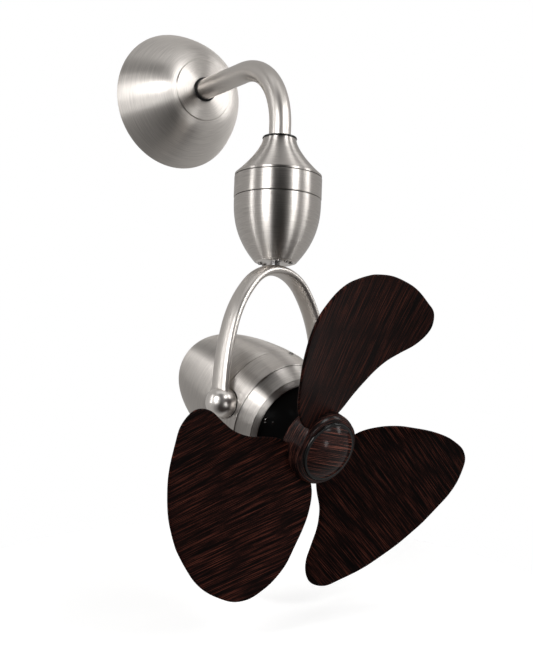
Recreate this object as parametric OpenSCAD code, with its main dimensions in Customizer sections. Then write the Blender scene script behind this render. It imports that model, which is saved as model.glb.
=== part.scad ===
// Wall and ceiling fan on a gooseneck arm, with an oscillating yoke and three paddle blades.
// The origin is on the wall, at the centre of the wall plate. +Y points into the wall, +Z up.

/* [Wall plate] */
// Diameter of the plate on the wall
plate_d = 150; // [136:1:170]
// Thickness of the wall plate
plate_t = 3; // [2:0.5:5]
// Distance between the two outlet-box slots
slot_pitch = 89; // [80:1:100]
// Width of an outlet-box slot
slot_w = 5.5; // [4:0.5:7]
// Length of an outlet-box slot, end to end
slot_len = 14; // [8:1:18]
// Distance across between the wall anchor holes
anchor_x = 72; // [60:1:80]
// Distance up between the wall anchor holes
anchor_z = 100; // [80:1:108]
// Diameter of a wall anchor hole
anchor_d = 7; // [5:0.5:9]
// Pitch circle of the studs that hold the arm
stud_pcd = 68; // [62:1:76]
// Diameter of those studs
stud_d = 6; // [5:0.5:8]

/* [Canopy] */
// Diameter of the spun canopy at the wall
canopy_d = 192; // [180:1:220]
// Depth of the canopy bowl
canopy_h = 71.5; // [60:0.5:90]
// Diameter of the cap on its front
cap_disc_d = 85; // [70:1:100]
// Height of the cap's shallow cone
cap_disc_h = 4.3; // [3:0.1:8]
// Wall of the spun parts
spun_t = 1.4; // [1:0.1:2]

/* [Arm] */
// Outer diameter of the arm tube
tube_d = 28.6; // [24:0.1:32]
// Wall of the arm tube
tube_t = 2.2; // [1.5:0.1:4]
// From the wall to the vertical axis of the column
arm_reach = 271; // [240:1:340]
// Radius of the gooseneck bend at the tube's centre
bend_r = 95; // [70:1:98]
// Diameter of the flange at the arm's foot
flange_d = 90; // [84:1:100]

/* [Oscillator housing] */
// From the arm's axis down to the black collar
collar_drop = 109.5; // [105:0.5:140]
// Diameter of the black collar
collar_d = 44.8; // [40:0.2:52]
// Height of the black collar
collar_h = 3; // [2:0.5:5]
// Height of the flared bell
bell_h = 50.5; // [44:0.5:70]
// Diameter of the bell at its foot
bell_d = 115; // [104:1:124]
// Height of the plain band
band_h = 30; // [26:1:40]
// Outer diameter of the band and of the cup
band_d = 112.6; // [102:0.2:122]
// Height of the cup
cup_h = 82; // [74:1:100]
// Diameter of the cup's bottom rim
cup_foot_d = 54.4; // [50:0.2:62]

/* [Oscillating drive] */
// Gear module of the drive
gear_m = 1.25; // [1:0.05:1.3]
// Teeth of the yoke gear
yoke_teeth = 40; // [36:1:42]
// Teeth of the motor pinion
pinion_teeth = 16; // [14:1:18]
// Width of the gear teeth
gear_w = 8; // [5:1:10]
// Diameter of the spindle
spindle_d = 12; // [10:0.5:14]
// Outer diameter of a spindle bearing
spindle_bearing_d = 32; // [28:1:34]
// Width of a spindle bearing
spindle_bearing_w = 10; // [8:1:11]

/* [Yoke] */
// From the arm's axis down to the tilt axis
pivot_drop = 468; // [460:1:500]
// Yoke turned from square to the wall, as shown
yaw = 11.5; // [-30:1:30]
// From a flat of the housing out to the middle of the leg beside it
leg_out = 14; // [12:0.5:24]
// From the tilt axis up to the centre of the arch
yoke_h = 181; // [176:0.5:200]
// Forward lean of the arch, in degrees
yoke_lean = 1.6; // [0:0.1:2.5]
// Width of the yoke's oval tube, front to back
oval_w = 27.8; // [22:0.2:29]
// Thickness of the yoke's oval tube
oval_t = 13.8; // [12:0.2:18]
// Wall of the yoke's oval tube
oval_wall = 2.2; // [1.5:0.1:4]
// Diameter of a pivot knob
knob_d = 37; // [32:0.5:42]

/* [Fan head] */
// Head tilted down from level, as shown
tilt = 29; // [5:0.5:55]
// Diameter of the housing at the seam
head_d = 156.8; // [146:0.2:160]
// Diameter of the housing at the front of its band
band_front_d = 150.2; // [140:0.2:154]
// From the tilt axis back to the seam
seam_back = 11; // [8:0.5:16]
// From the tilt axis forward to the end of the band
band_front = 24.5; // [22:0.5:34]
// Length of the cone in front of the band
cone_h = 18.7; // [14:0.1:26]
// Diameter at the small end of the cone
cone_d = 127.8; // [118:0.2:136]
// Length of the bright chamfer round the opening
chamfer_h = 6.7; // [4:0.1:9]
// Diameter of the front opening
opening_d = 115.6; // [108:0.2:117]
// Length of the rear cover
rear_l = 145; // [130:1:150]
// Wall of the cast front housing
cast_t = 3.2; // [2.5:0.1:4]
// Depth of the two flats that the knobs stand on
flat_depth = 4.9; // [4:0.1:6.5]
// Diameter of a tilt pin
tilt_pin_d = 12; // [9:0.5:14]

/* [Motor] */
// Diameter of the stator stack
stator_d = 98; // [90:1:100]
// Length of the stator stack
stator_l = 30; // [20:1:34]
// Diameter of the rotor core
rotor_d = 52; // [44:1:54]
// Gap between rotor and stator
air_gap = 0.5; // [0.4:0.1:1]
// Diameter of the motor shaft
shaft_d = 10; // [8:0.5:12]
// Outer diameter of a shaft bearing
shaft_bearing_d = 26; // [22:1:28]
// Width of a shaft bearing
shaft_bearing_w = 8; // [6:1:9]

/* [Hub and blades] */
// Diameter swept by the blade tips
sweep_d = 465; // [430:1:480]
// From the tilt axis forward to the blades at the hub
blade_plane = 97.5; // [96:0.1:99]
// Angle of the first blade, anticlockwise from the right
first_blade = 90; // [0:1:119]
// Pitch of a blade at its root, in degrees
pitch = 19.3; // [12:0.1:24]
// How much flatter the pitch gets towards the tip
twist = 0.19; // [0.1:0.01:0.3]
// Camber across a blade
camber = 0.19; // [0:0.01:0.22]
// Forward lean of the blades, in degrees
cone = 1.2; // [0:0.1:6]
// Forward curl of the tips
curl = 0.03; // [0:0.01:0.1]
// Thickness of a blade
blade_t = 5; // [4:0.5:7]
// Diameter of the hub over its three ears
hub_d = 96; // [92:1:104]
// How far the middle of an ear lies from the hub's axis
ear_out = 6.5; // [4:0.5:8]
// Diameter of the hub at its black ring
hub_front_d = 77; // [74:1:80]
// From the tilt axis forward to the black ring
ring_front = 122.4; // [120:0.2:128]
// Height of the domed hub cap
dome_h = 13; // [9:0.5:18]

/* [Clearances] */
// Gap between pieces that sit against each other
seat = 0.3; // [0.2:0.05:0.4]
// Radial clearance of a running fit
running = 0.05; // [0.02:0.01:0.08]

/* [Hidden] */
$fn = 96;

nickel = [0.66, 0.63, 0.60];
black = [0.08, 0.08, 0.08];
zinc = [0.75, 0.75, 0.76];
wood = [0.16, 0.08, 0.06];
copper = [0.72, 0.40, 0.22];
steel = [0.55, 0.55, 0.57];

// heights in the column, measured up from the arm's axis
z_collar = -collar_drop;
z_bell = z_collar - collar_h;
z_shoulder = z_bell - bell_h;
z_band = z_shoulder - band_h;
z_foot = z_band - cup_h;
mount_plate_t = 3;
bearing_plate_t = 8;
plate_gap = 48;
boss_depth = 32;
motor_can_h = 18;
motor_can_d = 46;
z_plate = z_shoulder - 4;
z_bearing_plate = z_plate - plate_gap;
z_gear = z_bearing_plate + 2;
z_pivot = -pivot_drop;
z_arch = z_pivot + yoke_h;

// widths across the head and the yoke
flat_span = head_d - 2 * flat_depth;
yoke_w = flat_span + 2 * leg_out;

// the frame of the wall plate: +Z leaves the wall, +Y is up
module wall() {
    rotate([90, 0, 0]) children();
}

// the frame of the column: its axis hangs from the end of the arm
module column(z = 0) {
    translate([0, -arm_reach, z]) children();
}

// the frame of the yoke: origin on the tilt axis, which is its X axis
module yoke_frame() {
    column(z_pivot) rotate([0, 0, yaw]) children();
}

// the frame of the fan head: +Z along the motor shaft to the front, +X along the tilt axis
module head() {
    yoke_frame() rotate([90 + tilt, 0, 0]) children();
}

module around(n, r, start = 0) {
    for (i = [0:n - 1]) rotate([0, 0, start + i * 360 / n]) translate([r, 0, 0]) children();
}

module tube(d_out, d_in, h) {
    difference() {
        cylinder(d = d_out, h = h);
        translate([0, 0, -1]) cylinder(d = d_in, h = h + 2);
    }
}

// pan-head screw: the underside of its head is at z = 0 and its shank points down
module pan_screw(d, length) {
    translate([0, 0, -length]) cylinder(d = d, h = length);
    difference() {
        intersection() {
            cylinder(d = d * 1.9, h = d * 0.62);
            translate([0, 0, d * 0.62 - d * 1.7]) sphere(r = d * 1.7);
        }
        for (a = [0, 90]) rotate([0, 0, a]) translate([-d * 0.5, -d * 0.1, d * 0.35])
            cube([d, d * 0.2, d]);
    }
}

// wall plate: anchor holes, outlet-box slots, the wire hole and four welded studs
wire_hole_d = 30;
stud_l = 17;
module wall_plate() {
    color(zinc) wall() {
        difference() {
            cylinder(d = plate_d, h = plate_t);
            translate([0, 0, -1]) cylinder(d = wire_hole_d, h = plate_t + 2);
            for (s = [-1, 1]) translate([s * slot_pitch / 2, 0, -1]) linear_extrude(plate_t + 2) {
                for (e = [-1, 1]) translate([e * (slot_len - slot_w) / 2, 0]) circle(d = slot_w);
                square([slot_len - slot_w, slot_w], center = true);
            }
            for (sx = [-1, 1], sz = [-1, 1])
                translate([sx * anchor_x / 2, sz * anchor_z / 2, -1])
                    cylinder(d = anchor_d, h = plate_t + 2);
        }
        around(4, stud_pcd / 2, 45) cylinder(d = stud_d, h = plate_t + stud_l);
    }
}

// flange welded to the foot of the arm, with a socket that takes the tube
flange_t = 7;
socket_h = 14;
socket_depth = 4;
z_flange = plate_t;
z_tube = z_flange + flange_t - socket_depth;
module arm_flange() {
    color(zinc) wall() translate([0, 0, z_flange]) difference() {
        union() {
            cylinder(d = flange_d, h = flange_t);
            cylinder(d = tube_d + 11, h = flange_t + socket_h);
        }
        translate([0, 0, -1]) cylinder(d = tube_d - 2 * tube_t, h = flange_t + 2);
        translate([0, 0, flange_t - socket_depth])
            cylinder(d = tube_d + 2 * running, h = socket_h + socket_depth + 1);
        translate([0, 0, -1]) around(4, stud_pcd / 2, 45)
            cylinder(d = stud_d + 0.6, h = flange_t + 2);
    }
}

washer_t = 1.2;
module flange_washers() {
    color(steel) wall() translate([0, 0, z_flange + flange_t]) around(4, stud_pcd / 2, 45)
        tube(stud_d * 2, stud_d + 0.4, washer_t);
}

module hex_nut(across, bore, h) {
    difference() {
        cylinder(d = across / cos(30), h = h, $fn = 6);
        translate([0, 0, -1]) cylinder(d = bore, h = h + 2);
    }
}

module flange_nuts() {
    color(steel) wall() translate([0, 0, z_flange + flange_t + washer_t])
        around(4, stud_pcd / 2, 45) hex_nut(stud_d * 1.65, stud_d + 2 * running, stud_d * 0.85);
}

// gooseneck tube: out from the wall, round one bend and down into the coupler
tube_end = z_shoulder + 13;
module arm_path(d) {
    wall() translate([0, 0, z_tube]) cylinder(d = d, h = arm_reach - bend_r - z_tube);
    column(-bend_r) translate([0, bend_r, 0]) rotate([90, 0, -90])
        rotate_extrude(angle = 90) translate([bend_r, 0]) circle(d = d);
    column(tube_end) cylinder(d = d, h = -bend_r - tube_end);
}

module arm_tube() {
    color(nickel) difference() {
        arm_path(tube_d);
        arm_path(tube_d - 2 * tube_t);
        wall() translate([0, 0, z_tube - 1]) cylinder(d = tube_d - 2 * tube_t, h = 2);
        column(tube_end - 1) cylinder(d = tube_d - 2 * tube_t, h = 2);
        column(z_cross_bolt) rotate([0, 90, 0])
            cylinder(d = cross_bolt_d + 0.4, h = tube_d * 2, center = true);
    }
}

// canopy: a spun bowl, deep and rounded, with a shallow conical cap on its front
bowl_steps = 22;
function bowl_r(s) = cap_disc_d / 2 + (canopy_d - cap_disc_d) / 2 * cos(90 * pow(s, 0.8));
function bowl_z(s) = canopy_h * pow(sin(90 * s), 1.42);
bowl_profile = [for (i = [0:bowl_steps]) [bowl_r(i / bowl_steps), bowl_z(i / bowl_steps)]];
lip_w = 7;
module canopy_bowl() {
    inner = [for (i = [bowl_steps:-1:0])
        [bowl_r(i / bowl_steps) - (i < bowl_steps ? spun_t : lip_w),
        max(0, bowl_z(i / bowl_steps) - spun_t)]];
    color(nickel) wall() rotate_extrude() polygon(concat(bowl_profile, inner));
}

grommet_d = 33.6;
module canopy_cap() {
    r = cap_disc_d / 2;
    hole = grommet_d / 2 - 1.5;
    color(nickel) wall() translate([0, 0, canopy_h]) rotate_extrude() polygon([
        [hole, cap_disc_h - spun_t], [r - 0.8, spun_t + seat], [r, spun_t + seat - 0.8],
        [r, seat], [r - lip_w - seat, seat], [r - lip_w - seat, -5],
        [r - lip_w - seat - spun_t, -5], [r - lip_w - seat - spun_t, 0],
        [hole, cap_disc_h - 2 * spun_t]]);
}

// rubber ring that grips the arm and holds the canopy against the wall
module arm_grommet() {
    color(black) wall() translate([0, 0, canopy_h]) rotate_extrude() polygon([
        [tube_d / 2 + running, cap_disc_h - 5], [grommet_d / 2 - 1.5 - seat, cap_disc_h - 5],
        [grommet_d / 2 - 1.5 - seat, cap_disc_h + seat], [grommet_d / 2, cap_disc_h + seat],
        [grommet_d / 2 - 0.8, cap_disc_h + 2.2], [tube_d / 2 + running, cap_disc_h + 2.2]]);
}

// column under the arm
module collar_ring() {
    color(black) column(z_bell) rotate_extrude() polygon([
        [tube_d / 2 + running, 0], [collar_d / 2 - 0.5, 0], [collar_d / 2, 0.5],
        [collar_d / 2, collar_h - 0.8], [collar_d / 2 - 0.8, collar_h],
        [tube_d / 2 + running, collar_h]]);
}

bell_steps = 20;
function bell_r(s) = collar_d / 2 - 0.8
    + (bell_d - collar_d + 1.6) / 2 * min(1, pow(s / 0.95, 1.3)) ;
module upper_bell() {
    outer = [for (i = [0:bell_steps]) let (s = i / bell_steps) [bell_r(s), -s * bell_h]];
    inner = [for (i = [bell_steps:-1:1]) let (s = i / bell_steps)
        [bell_r(s) - spun_t, min(-3, -s * bell_h + spun_t * 0.8)]];
    color(nickel) column(z_bell) rotate_extrude() polygon(concat(
        [[tube_d / 2 + 0.2, 0]], outer,
        [[bell_d / 2 - spun_t, -bell_h]], inner, [[tube_d / 2 + 0.2, -3]]));
}

// cast coupler that clamps the tube and carries the plates below it
coupler_d = 40;
coupler_flange_d = 84;
coupler_flange_t = 5;
z_coupler = z_plate;
coupler_h = 42;
cross_bolt_d = 5;
z_cross_bolt = tube_end + 16;
coupler_screw_r = 33;
module tube_coupler() {
    color(zinc) column(z_coupler) difference() {
        union() {
            cylinder(d = coupler_flange_d, h = coupler_flange_t);
            cylinder(d = coupler_d, h = coupler_h);
        }
        translate([0, 0, tube_end - z_coupler])
            cylinder(d = tube_d + 2 * running, h = coupler_h);
        translate([0, 0, -1]) cylinder(d = tube_d - 2 * tube_t - 2, h = coupler_h);
        translate([0, 0, z_cross_bolt - z_coupler]) rotate([0, 90, 0])
            cylinder(d = cross_bolt_d + 0.4, h = coupler_d + 2, center = true);
        around(4, coupler_screw_r, 45) translate([0, 0, -1])
            cylinder(d = 4.4, h = coupler_flange_t + 2);
    }
}

// bolt through coupler and tube, with its hexagon head and nut
module coupler_bolt() {
    flat = cross_bolt_d * 1.6;
    color(steel) column(z_cross_bolt) rotate([0, 90, 0]) {
        cylinder(d = cross_bolt_d, h = coupler_d + 10, center = true);
        for (s = [0, 1]) rotate([0, 180 * s, 0]) translate([0, 0, coupler_d / 2 + 0.1])
            cylinder(d = flat / cos(30), h = 3.6, $fn = 6);
    }
}

module coupler_screws() {
    color(steel) column(z_coupler + coupler_flange_t) around(4, coupler_screw_r, 45)
        pan_screw(4, coupler_flange_t + mount_plate_t);
}

// upper plate: carries the oscillation motor
pinion_offset = gear_m * (yoke_teeth + pinion_teeth) / 2;
bearing_plate_r = cup_r((z_band - z_bearing_plate + bearing_plate_t) / cup_h) - 1.5 * spun_t - seat;
motor_offset = pinion_offset - 9;
standoff_r = bearing_plate_r - 5.5;
standoff_angles = [75, 180, 285];
motor_ear_r = motor_can_d / 2 + 3;
module mount_plate() {
    color(zinc) column(z_plate - mount_plate_t) difference() {
        cylinder(d = band_d - 2 * spun_t - 2 * seat, h = mount_plate_t);
        translate([0, 0, -1]) {
            cylinder(d = 16, h = mount_plate_t + 2);
            around(4, coupler_screw_r, 45) cylinder(d = 4 + 2 * running, h = mount_plate_t + 2);
            for (a = standoff_angles) rotate([0, 0, a]) translate([standoff_r, 0, 0])
                cylinder(d = 4.4, h = mount_plate_t + 2);
            for (s = [-1, 1]) translate([motor_offset, s * motor_ear_r, 0])
                cylinder(d = 3.4, h = mount_plate_t + 2);
        }
    }
}

// slow reversing motor in a drawn can, with two ears
module oscillation_motor() {
    z = z_plate - mount_plate_t;
    color([0.80, 0.79, 0.76]) column(z) {
        difference() {
            union() {
                translate([motor_offset, 0, -motor_can_h]) cylinder(d = motor_can_d, h = motor_can_h);
                translate([motor_offset, 0, -1.2]) linear_extrude(1.2) {
                    for (s = [-1, 1]) translate([0, s * motor_ear_r]) circle(d = 9);
                    square([9, 2 * motor_ear_r], center = true);
                }
                translate([pinion_offset, 0, -motor_can_h - 3]) cylinder(d = 12, h = 4);
            }
            for (s = [-1, 1]) translate([motor_offset, s * motor_ear_r, -3])
                cylinder(d = 3.4, h = 6);
            translate([pinion_offset, 0, -motor_can_h - 4])
                cylinder(d = pinion_shaft_d + 2 * running, h = 12);
        }
    }
}

module motor_screws() {
    color(steel) column(z_plate - mount_plate_t - 1.2) for (s = [-1, 1])
        translate([motor_offset, s * motor_ear_r, 0]) rotate([180, 0, 0])
            pan_screw(3, 1.2 + mount_plate_t);
}

module standoffs() {
    gap_z = z_bearing_plate;
    color(zinc) column(gap_z) for (a = standoff_angles) rotate([0, 0, a])
        translate([standoff_r, 0, 0])
            tube(8, 4 + 2 * running, z_plate - mount_plate_t - gap_z);
}

// long screws through standoffs and both plates
module plate_screws() {
    top = z_plate;
    color(steel) column(top) for (a = standoff_angles) rotate([0, 0, a])
        translate([standoff_r, 0, 0])
            pan_screw(4, top - z_bearing_plate + bearing_plate_t);
}

// lower plate with the deep boss that holds the two spindle bearings
module bearing_plate() {
    bore = spindle_bearing_d + 2 * running;
    color(zinc) column(z_bearing_plate) difference() {
        union() {
            translate([0, 0, -bearing_plate_t]) cylinder(r = bearing_plate_r, h = bearing_plate_t);
            translate([0, 0, -boss_depth]) cylinder(d = spindle_bearing_d + 9, h = boss_depth);
        }
        translate([0, 0, -spindle_bearing_w - 2]) cylinder(d = bore, h = 40);
        translate([0, 0, -boss_depth - 1]) cylinder(d = bore, h = spindle_bearing_w + 1);
        translate([0, 0, -boss_depth - 1]) cylinder(d = bore - 6, h = boss_depth);
        for (a = standoff_angles) rotate([0, 0, a]) translate([standoff_r, 0, -20])
            cylinder(d = 4 + 2 * running, h = 21);
    }
}

module ball_bearing(d_out, d_in, w) {
    difference() {
        cylinder(d = d_out, h = w);
        translate([0, 0, -1]) cylinder(d = d_in, h = w + 2);
        for (z = [-1, w - 0.6]) translate([0, 0, z])
            tube((d_out * 2 + d_in) / 3 + 1, (d_out + d_in * 2) / 3 - 1, 1.6);
    }
}

bearing_zs = [z_bearing_plate - 2 - spindle_bearing_w, z_bearing_plate - boss_depth];
module spindle_bearings() {
    color(steel) for (z = bearing_zs) column(z)
        ball_bearing(spindle_bearing_d, spindle_d + 2 * running, spindle_bearing_w);
}

module housing_band() {
    r = band_d / 2;
    color(nickel) column(z_band + seat) rotate_extrude() polygon([
        [r - spun_t, 0], [r - 0.4, 0], [r, 0.4], [r, band_h - seat - 0.9],
        [r - 0.4, band_h - seat - 0.5], [r - spun_t, band_h - seat - 0.5]]);
}

// acorn cup with its open foot
cup_steps = 24;
function cup_r(s) = cup_foot_d / 2 + (band_d - cup_foot_d) / 2 * (1 - pow(s, 2.45));
function cup_s(i) = sin(90 * i / cup_steps);
module lower_cup() {
    outer = [for (i = [0:cup_steps]) let (s = cup_s(i)) [cup_r(s), -s * cup_h]];
    inner = [for (i = [cup_steps:-1:0]) let (s = cup_s(i))
        [cup_r(s) - spun_t * (1 + 0.35 * s), -min(s * cup_h, cup_h)]];
    color(nickel) column(z_band) rotate_extrude() polygon(concat(outer, inner));
}

// involute spur gear: tooth flanks from the base circle, root fillets left square
function inv(a) = tan(a) * 180 / PI - a;
function flank(rb, r) = acos(min(1, rb / r));
function tooth_half(m, z, r, shrink) = let (rb = m * z / 2 * cos(20))
    90 / z + inv(20) - inv(flank(rb, max(r, rb))) - shrink / (m * z / 2) * 90 / PI;
module gear_2d(m, z, shrink) {
    rp = m * z / 2;
    ra = rp + m;
    rr = rp - 1.25 * m;
    rb = rp * cos(20);
    radii = [for (i = [0:5]) max(rb, rr) + (ra - max(rb, rr)) * i / 5];
    points = [for (t = [0:z - 1]) each concat(
        [[rr, t * 360 / z - tooth_half(m, z, radii[0], shrink)]],
        [for (r = radii) [r, t * 360 / z - tooth_half(m, z, r, shrink)]],
        [for (i = [5:-1:0]) [radii[i], t * 360 / z + tooth_half(m, z, radii[i], shrink)]],
        [[rr, t * 360 / z + tooth_half(m, z, radii[0], shrink)]])];
    polygon([for (p = points) p[0] * [cos(p[1]), sin(p[1])]]);
}

backlash = 0.12;
pinion_shaft_d = 6;
module drive_pinion() {
    z_top = z_plate - mount_plate_t - motor_can_h;
    color([0.85, 0.83, 0.78]) column(0) translate([pinion_offset, 0, 0]) {
        translate([0, 0, z_gear]) rotate([0, 0, 180 + 180 / pinion_teeth])
            linear_extrude(gear_w) gear_2d(gear_m, pinion_teeth, backlash);
        translate([0, 0, z_gear + gear_w / 2])
            cylinder(d = pinion_shaft_d, h = z_top + 6 - z_gear - gear_w / 2);
    }
}

// spindle: turns in the two bearings and goes down into the yoke
spindle_foot_d = spindle_d + 6;
z_disc = z_foot + 3;
disc_t = 3.5;
neck_d = 12;
module spindle() {
    top = z_gear + gear_w + 9;
    shoulder = z_bearing_plate - boss_depth - seat;
    color(steel) column(0) difference() {
        union() {
            translate([0, 0, shoulder - 2]) cylinder(d = spindle_d, h = top - shoulder + 2);
            translate([0, 0, z_disc + disc_t])
                cylinder(d = spindle_foot_d, h = shoulder - z_disc - disc_t);
            translate([0, 0, z_arch - 3]) cylinder(d = neck_d, h = z_disc + disc_t + 1 - z_arch + 3);
        }
        translate([0, 0, z_arch - 5]) cylinder(d = 6, h = top - z_arch + 10);
    }
}

module yoke_gear() {
    hub_z = bearing_zs[0] + spindle_bearing_w + seat;
    color([0.85, 0.83, 0.78]) column(0) difference() {
        union() {
            translate([0, 0, z_gear]) linear_extrude(gear_w)
                gear_2d(gear_m, yoke_teeth, backlash);
            translate([0, 0, hub_z]) cylinder(d = spindle_d + 8, h = z_gear - hub_z + 1);
        }
        translate([0, 0, hub_z - 1]) cylinder(d = spindle_d + 2 * running, h = gear_w + 10);
        around(5, gear_m * yoke_teeth / 3.4, 36)
            translate([0, 0, z_gear - 1]) cylinder(d = 9, h = gear_w + 2);
    }
}

module spindle_nut() {
    color(steel) column(z_gear + gear_w)
        hex_nut(spindle_d * 1.6, spindle_d + 2 * running, 6);
}

// flat disc that closes the foot of the cup and turns with the yoke
foot_screw_r = cup_foot_d / 2 - 7;
foot_screw_angles = [60, 90, 120, 240, 270, 300];
module foot_disc() {
    color(nickel) column(z_disc) rotate([0, 0, yaw]) difference() {
        cylinder(d = cup_foot_d - 4 * spun_t, h = disc_t);
        translate([0, 0, -1]) cylinder(d = neck_d + 2 * running, h = disc_t + 2);
        for (a = foot_screw_angles) rotate([0, 0, a]) translate([foot_screw_r, 0, -1])
            cylinder(d = 3 + 2 * running, h = disc_t + 2);
    }
}

module foot_screws() {
    color(steel) column(z_disc) rotate([0, 0, yaw]) for (a = foot_screw_angles)
        rotate([0, 0, a]) translate([foot_screw_r, 0, 0]) rotate([180, 0, 0])
            pan_screw(3, disc_t + 1.5);
}

// yoke: an oval tube bent through three tangent arcs on each side
leg_r = 330;
leg_turn = 14;
leg_top = knob_d / 2 + 1;
side_turn = 42;
yoke_a = yoke_w / 2;
side_x = cos(leg_turn) - cos(side_turn);
side_z = sin(side_turn) - sin(leg_turn);
rest_x = yoke_a - leg_r * (1 - cos(leg_turn));
rest_z = yoke_h - leg_top - leg_r * sin(leg_turn);
crown_r = (rest_x * side_z - rest_z * side_x)
    / (cos(side_turn) * side_z - (1 - sin(side_turn)) * side_x);
side_r = (rest_x - crown_r * cos(side_turn)) / side_x;
leg_end = 11;

module oval(grow = 0) {
    w = oval_w + 2 * grow;
    t = oval_t + 2 * grow;
    for (s = [-1, 1]) translate([0, s * (w - t) / 2]) circle(d = t, $fn = 48);
    square([t, w - t], center = true);
}

// one arc of the yoke: its centre, radius and start and end angle from the tilt axis;
// a slim arc runs on for a millimetre inside the walls of its two neighbours
module yoke_arc(centre, r, from, to, slim = 0) {
    lap = slim > 0 ? 57.3 / r : 0;
    translate([centre[0], 0, centre[1]]) rotate([90, 0, 0]) rotate([0, 0, from - lap])
        rotate_extrude(angle = to - from + 2 * lap) translate([r, 0]) difference() {
            oval(-slim);
            oval(slim - oval_wall);
        }
}

module yoke_side() {
    translate([yoke_a, 0, leg_end]) linear_extrude(leg_top - leg_end) difference() {
        oval(0);
        oval(-oval_wall);
    }
    yoke_arc(leg_c, leg_r, 0, leg_turn, 0.03);
    yoke_arc(side_c, side_r, leg_turn, side_turn);
}

leg_c = [yoke_a - leg_r, leg_top];
side_c = leg_c + (leg_r - side_r) * [cos(leg_turn), sin(leg_turn)];
crown_c = side_c + (side_r - crown_r) * [cos(side_turn), sin(side_turn)];
module yoke_arch() {
    color(nickel) yoke_frame() difference() {
        rotate([yoke_lean, 0, 0]) {
            yoke_side();
            mirror([1, 0, 0]) yoke_side();
            yoke_arc([0, crown_c[1]], crown_r, side_turn, 180 - side_turn, 0.03);
        }
        translate([0, 0, yoke_h - 3]) cylinder(d = neck_d + 2 * running, h = 30);
    }
}

// pivot knob: a short drum with a domed end, socketed for the leg and bored for the pin
knob_in = flat_span / 2 + 2;
module knob() {
    r = knob_d / 2;
    color(nickel) difference() {
        rotate([0, 90, 0]) union() {
            translate([0, 0, knob_in]) cylinder(d1 = knob_d - 2, d2 = knob_d, h = 1);
            translate([0, 0, knob_in + 1]) cylinder(d = knob_d, h = yoke_a - knob_in - 2);
            translate([0, 0, yoke_a - 1]) intersection() {
                sphere(d = knob_d);
                cylinder(d = knob_d + 1, h = r + 1);
            }
        }
        rotate([yoke_lean, 0, 0]) translate([yoke_a, 0, leg_end - 0.1])
            linear_extrude(r) oval(0.1);
        rotate([0, 90, 0]) translate([0, 0, knob_in - 1])
            cylinder(d = tilt_pin_d + 2 * running, h = yoke_a - knob_in + 6);
    }
}

module left_knob() {
    yoke_frame() mirror([1, 0, 0]) knob();
}

module right_knob() {
    yoke_frame() knob();
}

gasket_t = 1.4;
module knob_gaskets() {
    color(black) yoke_frame() for (s = [0, 1]) rotate([0, 0, 180 * s]) rotate([0, 90, 0])
        translate([0, 0, knob_in - gasket_t])
            tube(knob_d - 1.6, tilt_pin_d + 2 * running, gasket_t);
}

// fan head
z_seam = -seam_back;
z_cone = band_front + cone_h;
z_lip = z_cone + chamfer_h;
pad_d = knob_d + 1.6;
module pin_axis(from, to, d) {
    rotate([0, 90, 0]) translate([0, 0, from]) cylinder(d = d, h = to - from);
}

module front_housing() {
    r = head_d / 2;
    rb = band_front_d / 2;
    rc = cone_d / 2;
    ro = opening_d / 2;
    color(nickel) head() difference() {
        union() {
            rotate_extrude() polygon([
                [r, z_seam], [rb, band_front - 0.6], [rb - 0.6, band_front],
                [rb - 1.4, band_front + 0.4], [rc, z_cone], [rc - 0.8, z_cone + 0.5],
                [ro, z_lip], [ro - 1, z_lip - 1], [ro - 1, z_lip - 5],
                [rc - cast_t, z_lip - 5], [rb - cast_t - 1, band_front - 1],
                [r - cast_t, z_seam]]);
            for (s = [0, 1]) rotate([0, 180 * s, 0])
                pin_axis(flat_span / 2 - 10, flat_span / 2, pad_d);
        }
        for (s = [0, 1]) rotate([0, 180 * s, 0]) {
            pin_axis(flat_span / 2, flat_span, pad_d);
            pin_axis(flat_span / 2 - 20, flat_span, tilt_pin_d + 2 * running);
        }
        for (a = cover_screw_angles) rotate([0, 0, a]) translate([r, 0, z_screw])
            rotate([0, 90, 0]) cylinder(d = 3.4, h = 20, center = true);
    }
}

// egg-shaped spun cover behind the seam, with an inner spigot for its screws
rear_steps = 26;
function rear_s(i) = 1 - pow(1 - i / rear_steps, 1.9);
function rear_r(s) = (head_d / 2 - 0.2) * pow(max(0, 1 - pow(s, 1.52)), 0.33);
function rear_n(s) = let (d = 0.002, a = rear_r(min(1, s + d)), b = rear_r(max(0, s - d)))
    atan2(b - a, 2 * d * rear_l);
spigot_l = 14;
spigot_in = spigot_l * ((head_d - band_front_d) / 2 + 1) / (seam_back + band_front - 1);
module rear_cover() {
    r = head_d / 2;
    rs = r - cast_t - seat - 0.4;
    outer = [for (i = [0:rear_steps]) let (s = rear_s(i)) [rear_r(s), z_seam - 0.3 - s * rear_l]];
    inner = [for (i = [rear_steps - 1:-1:1]) let (s = rear_s(i))
        [max(0.2, rear_r(s) - spun_t * 1.2), max(z_seam - 0.3 - s * rear_l, z_seam - rear_l + spun_t)]];
    color(nickel) head() difference() {
        rotate_extrude() polygon(concat(outer, [[0, z_seam - rear_l + spun_t]], inner,
            [[rs - 1.8, z_seam - 6], [rs - spigot_in - 1.8, z_seam + spigot_l],
            [rs - spigot_in, z_seam + spigot_l], [rs, z_seam - 0.3]]));
        for (a = cover_screw_angles) rotate([0, 0, a]) translate([r, 0, z_screw])
            rotate([0, 90, 0]) cylinder(d = 3 + 2 * running, h = 20, center = true);
        for (s = [0, 1]) rotate([0, 180 * s, 0]) pin_axis(0, r * 2, pad_d + 4 * seat);
    }
}

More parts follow.
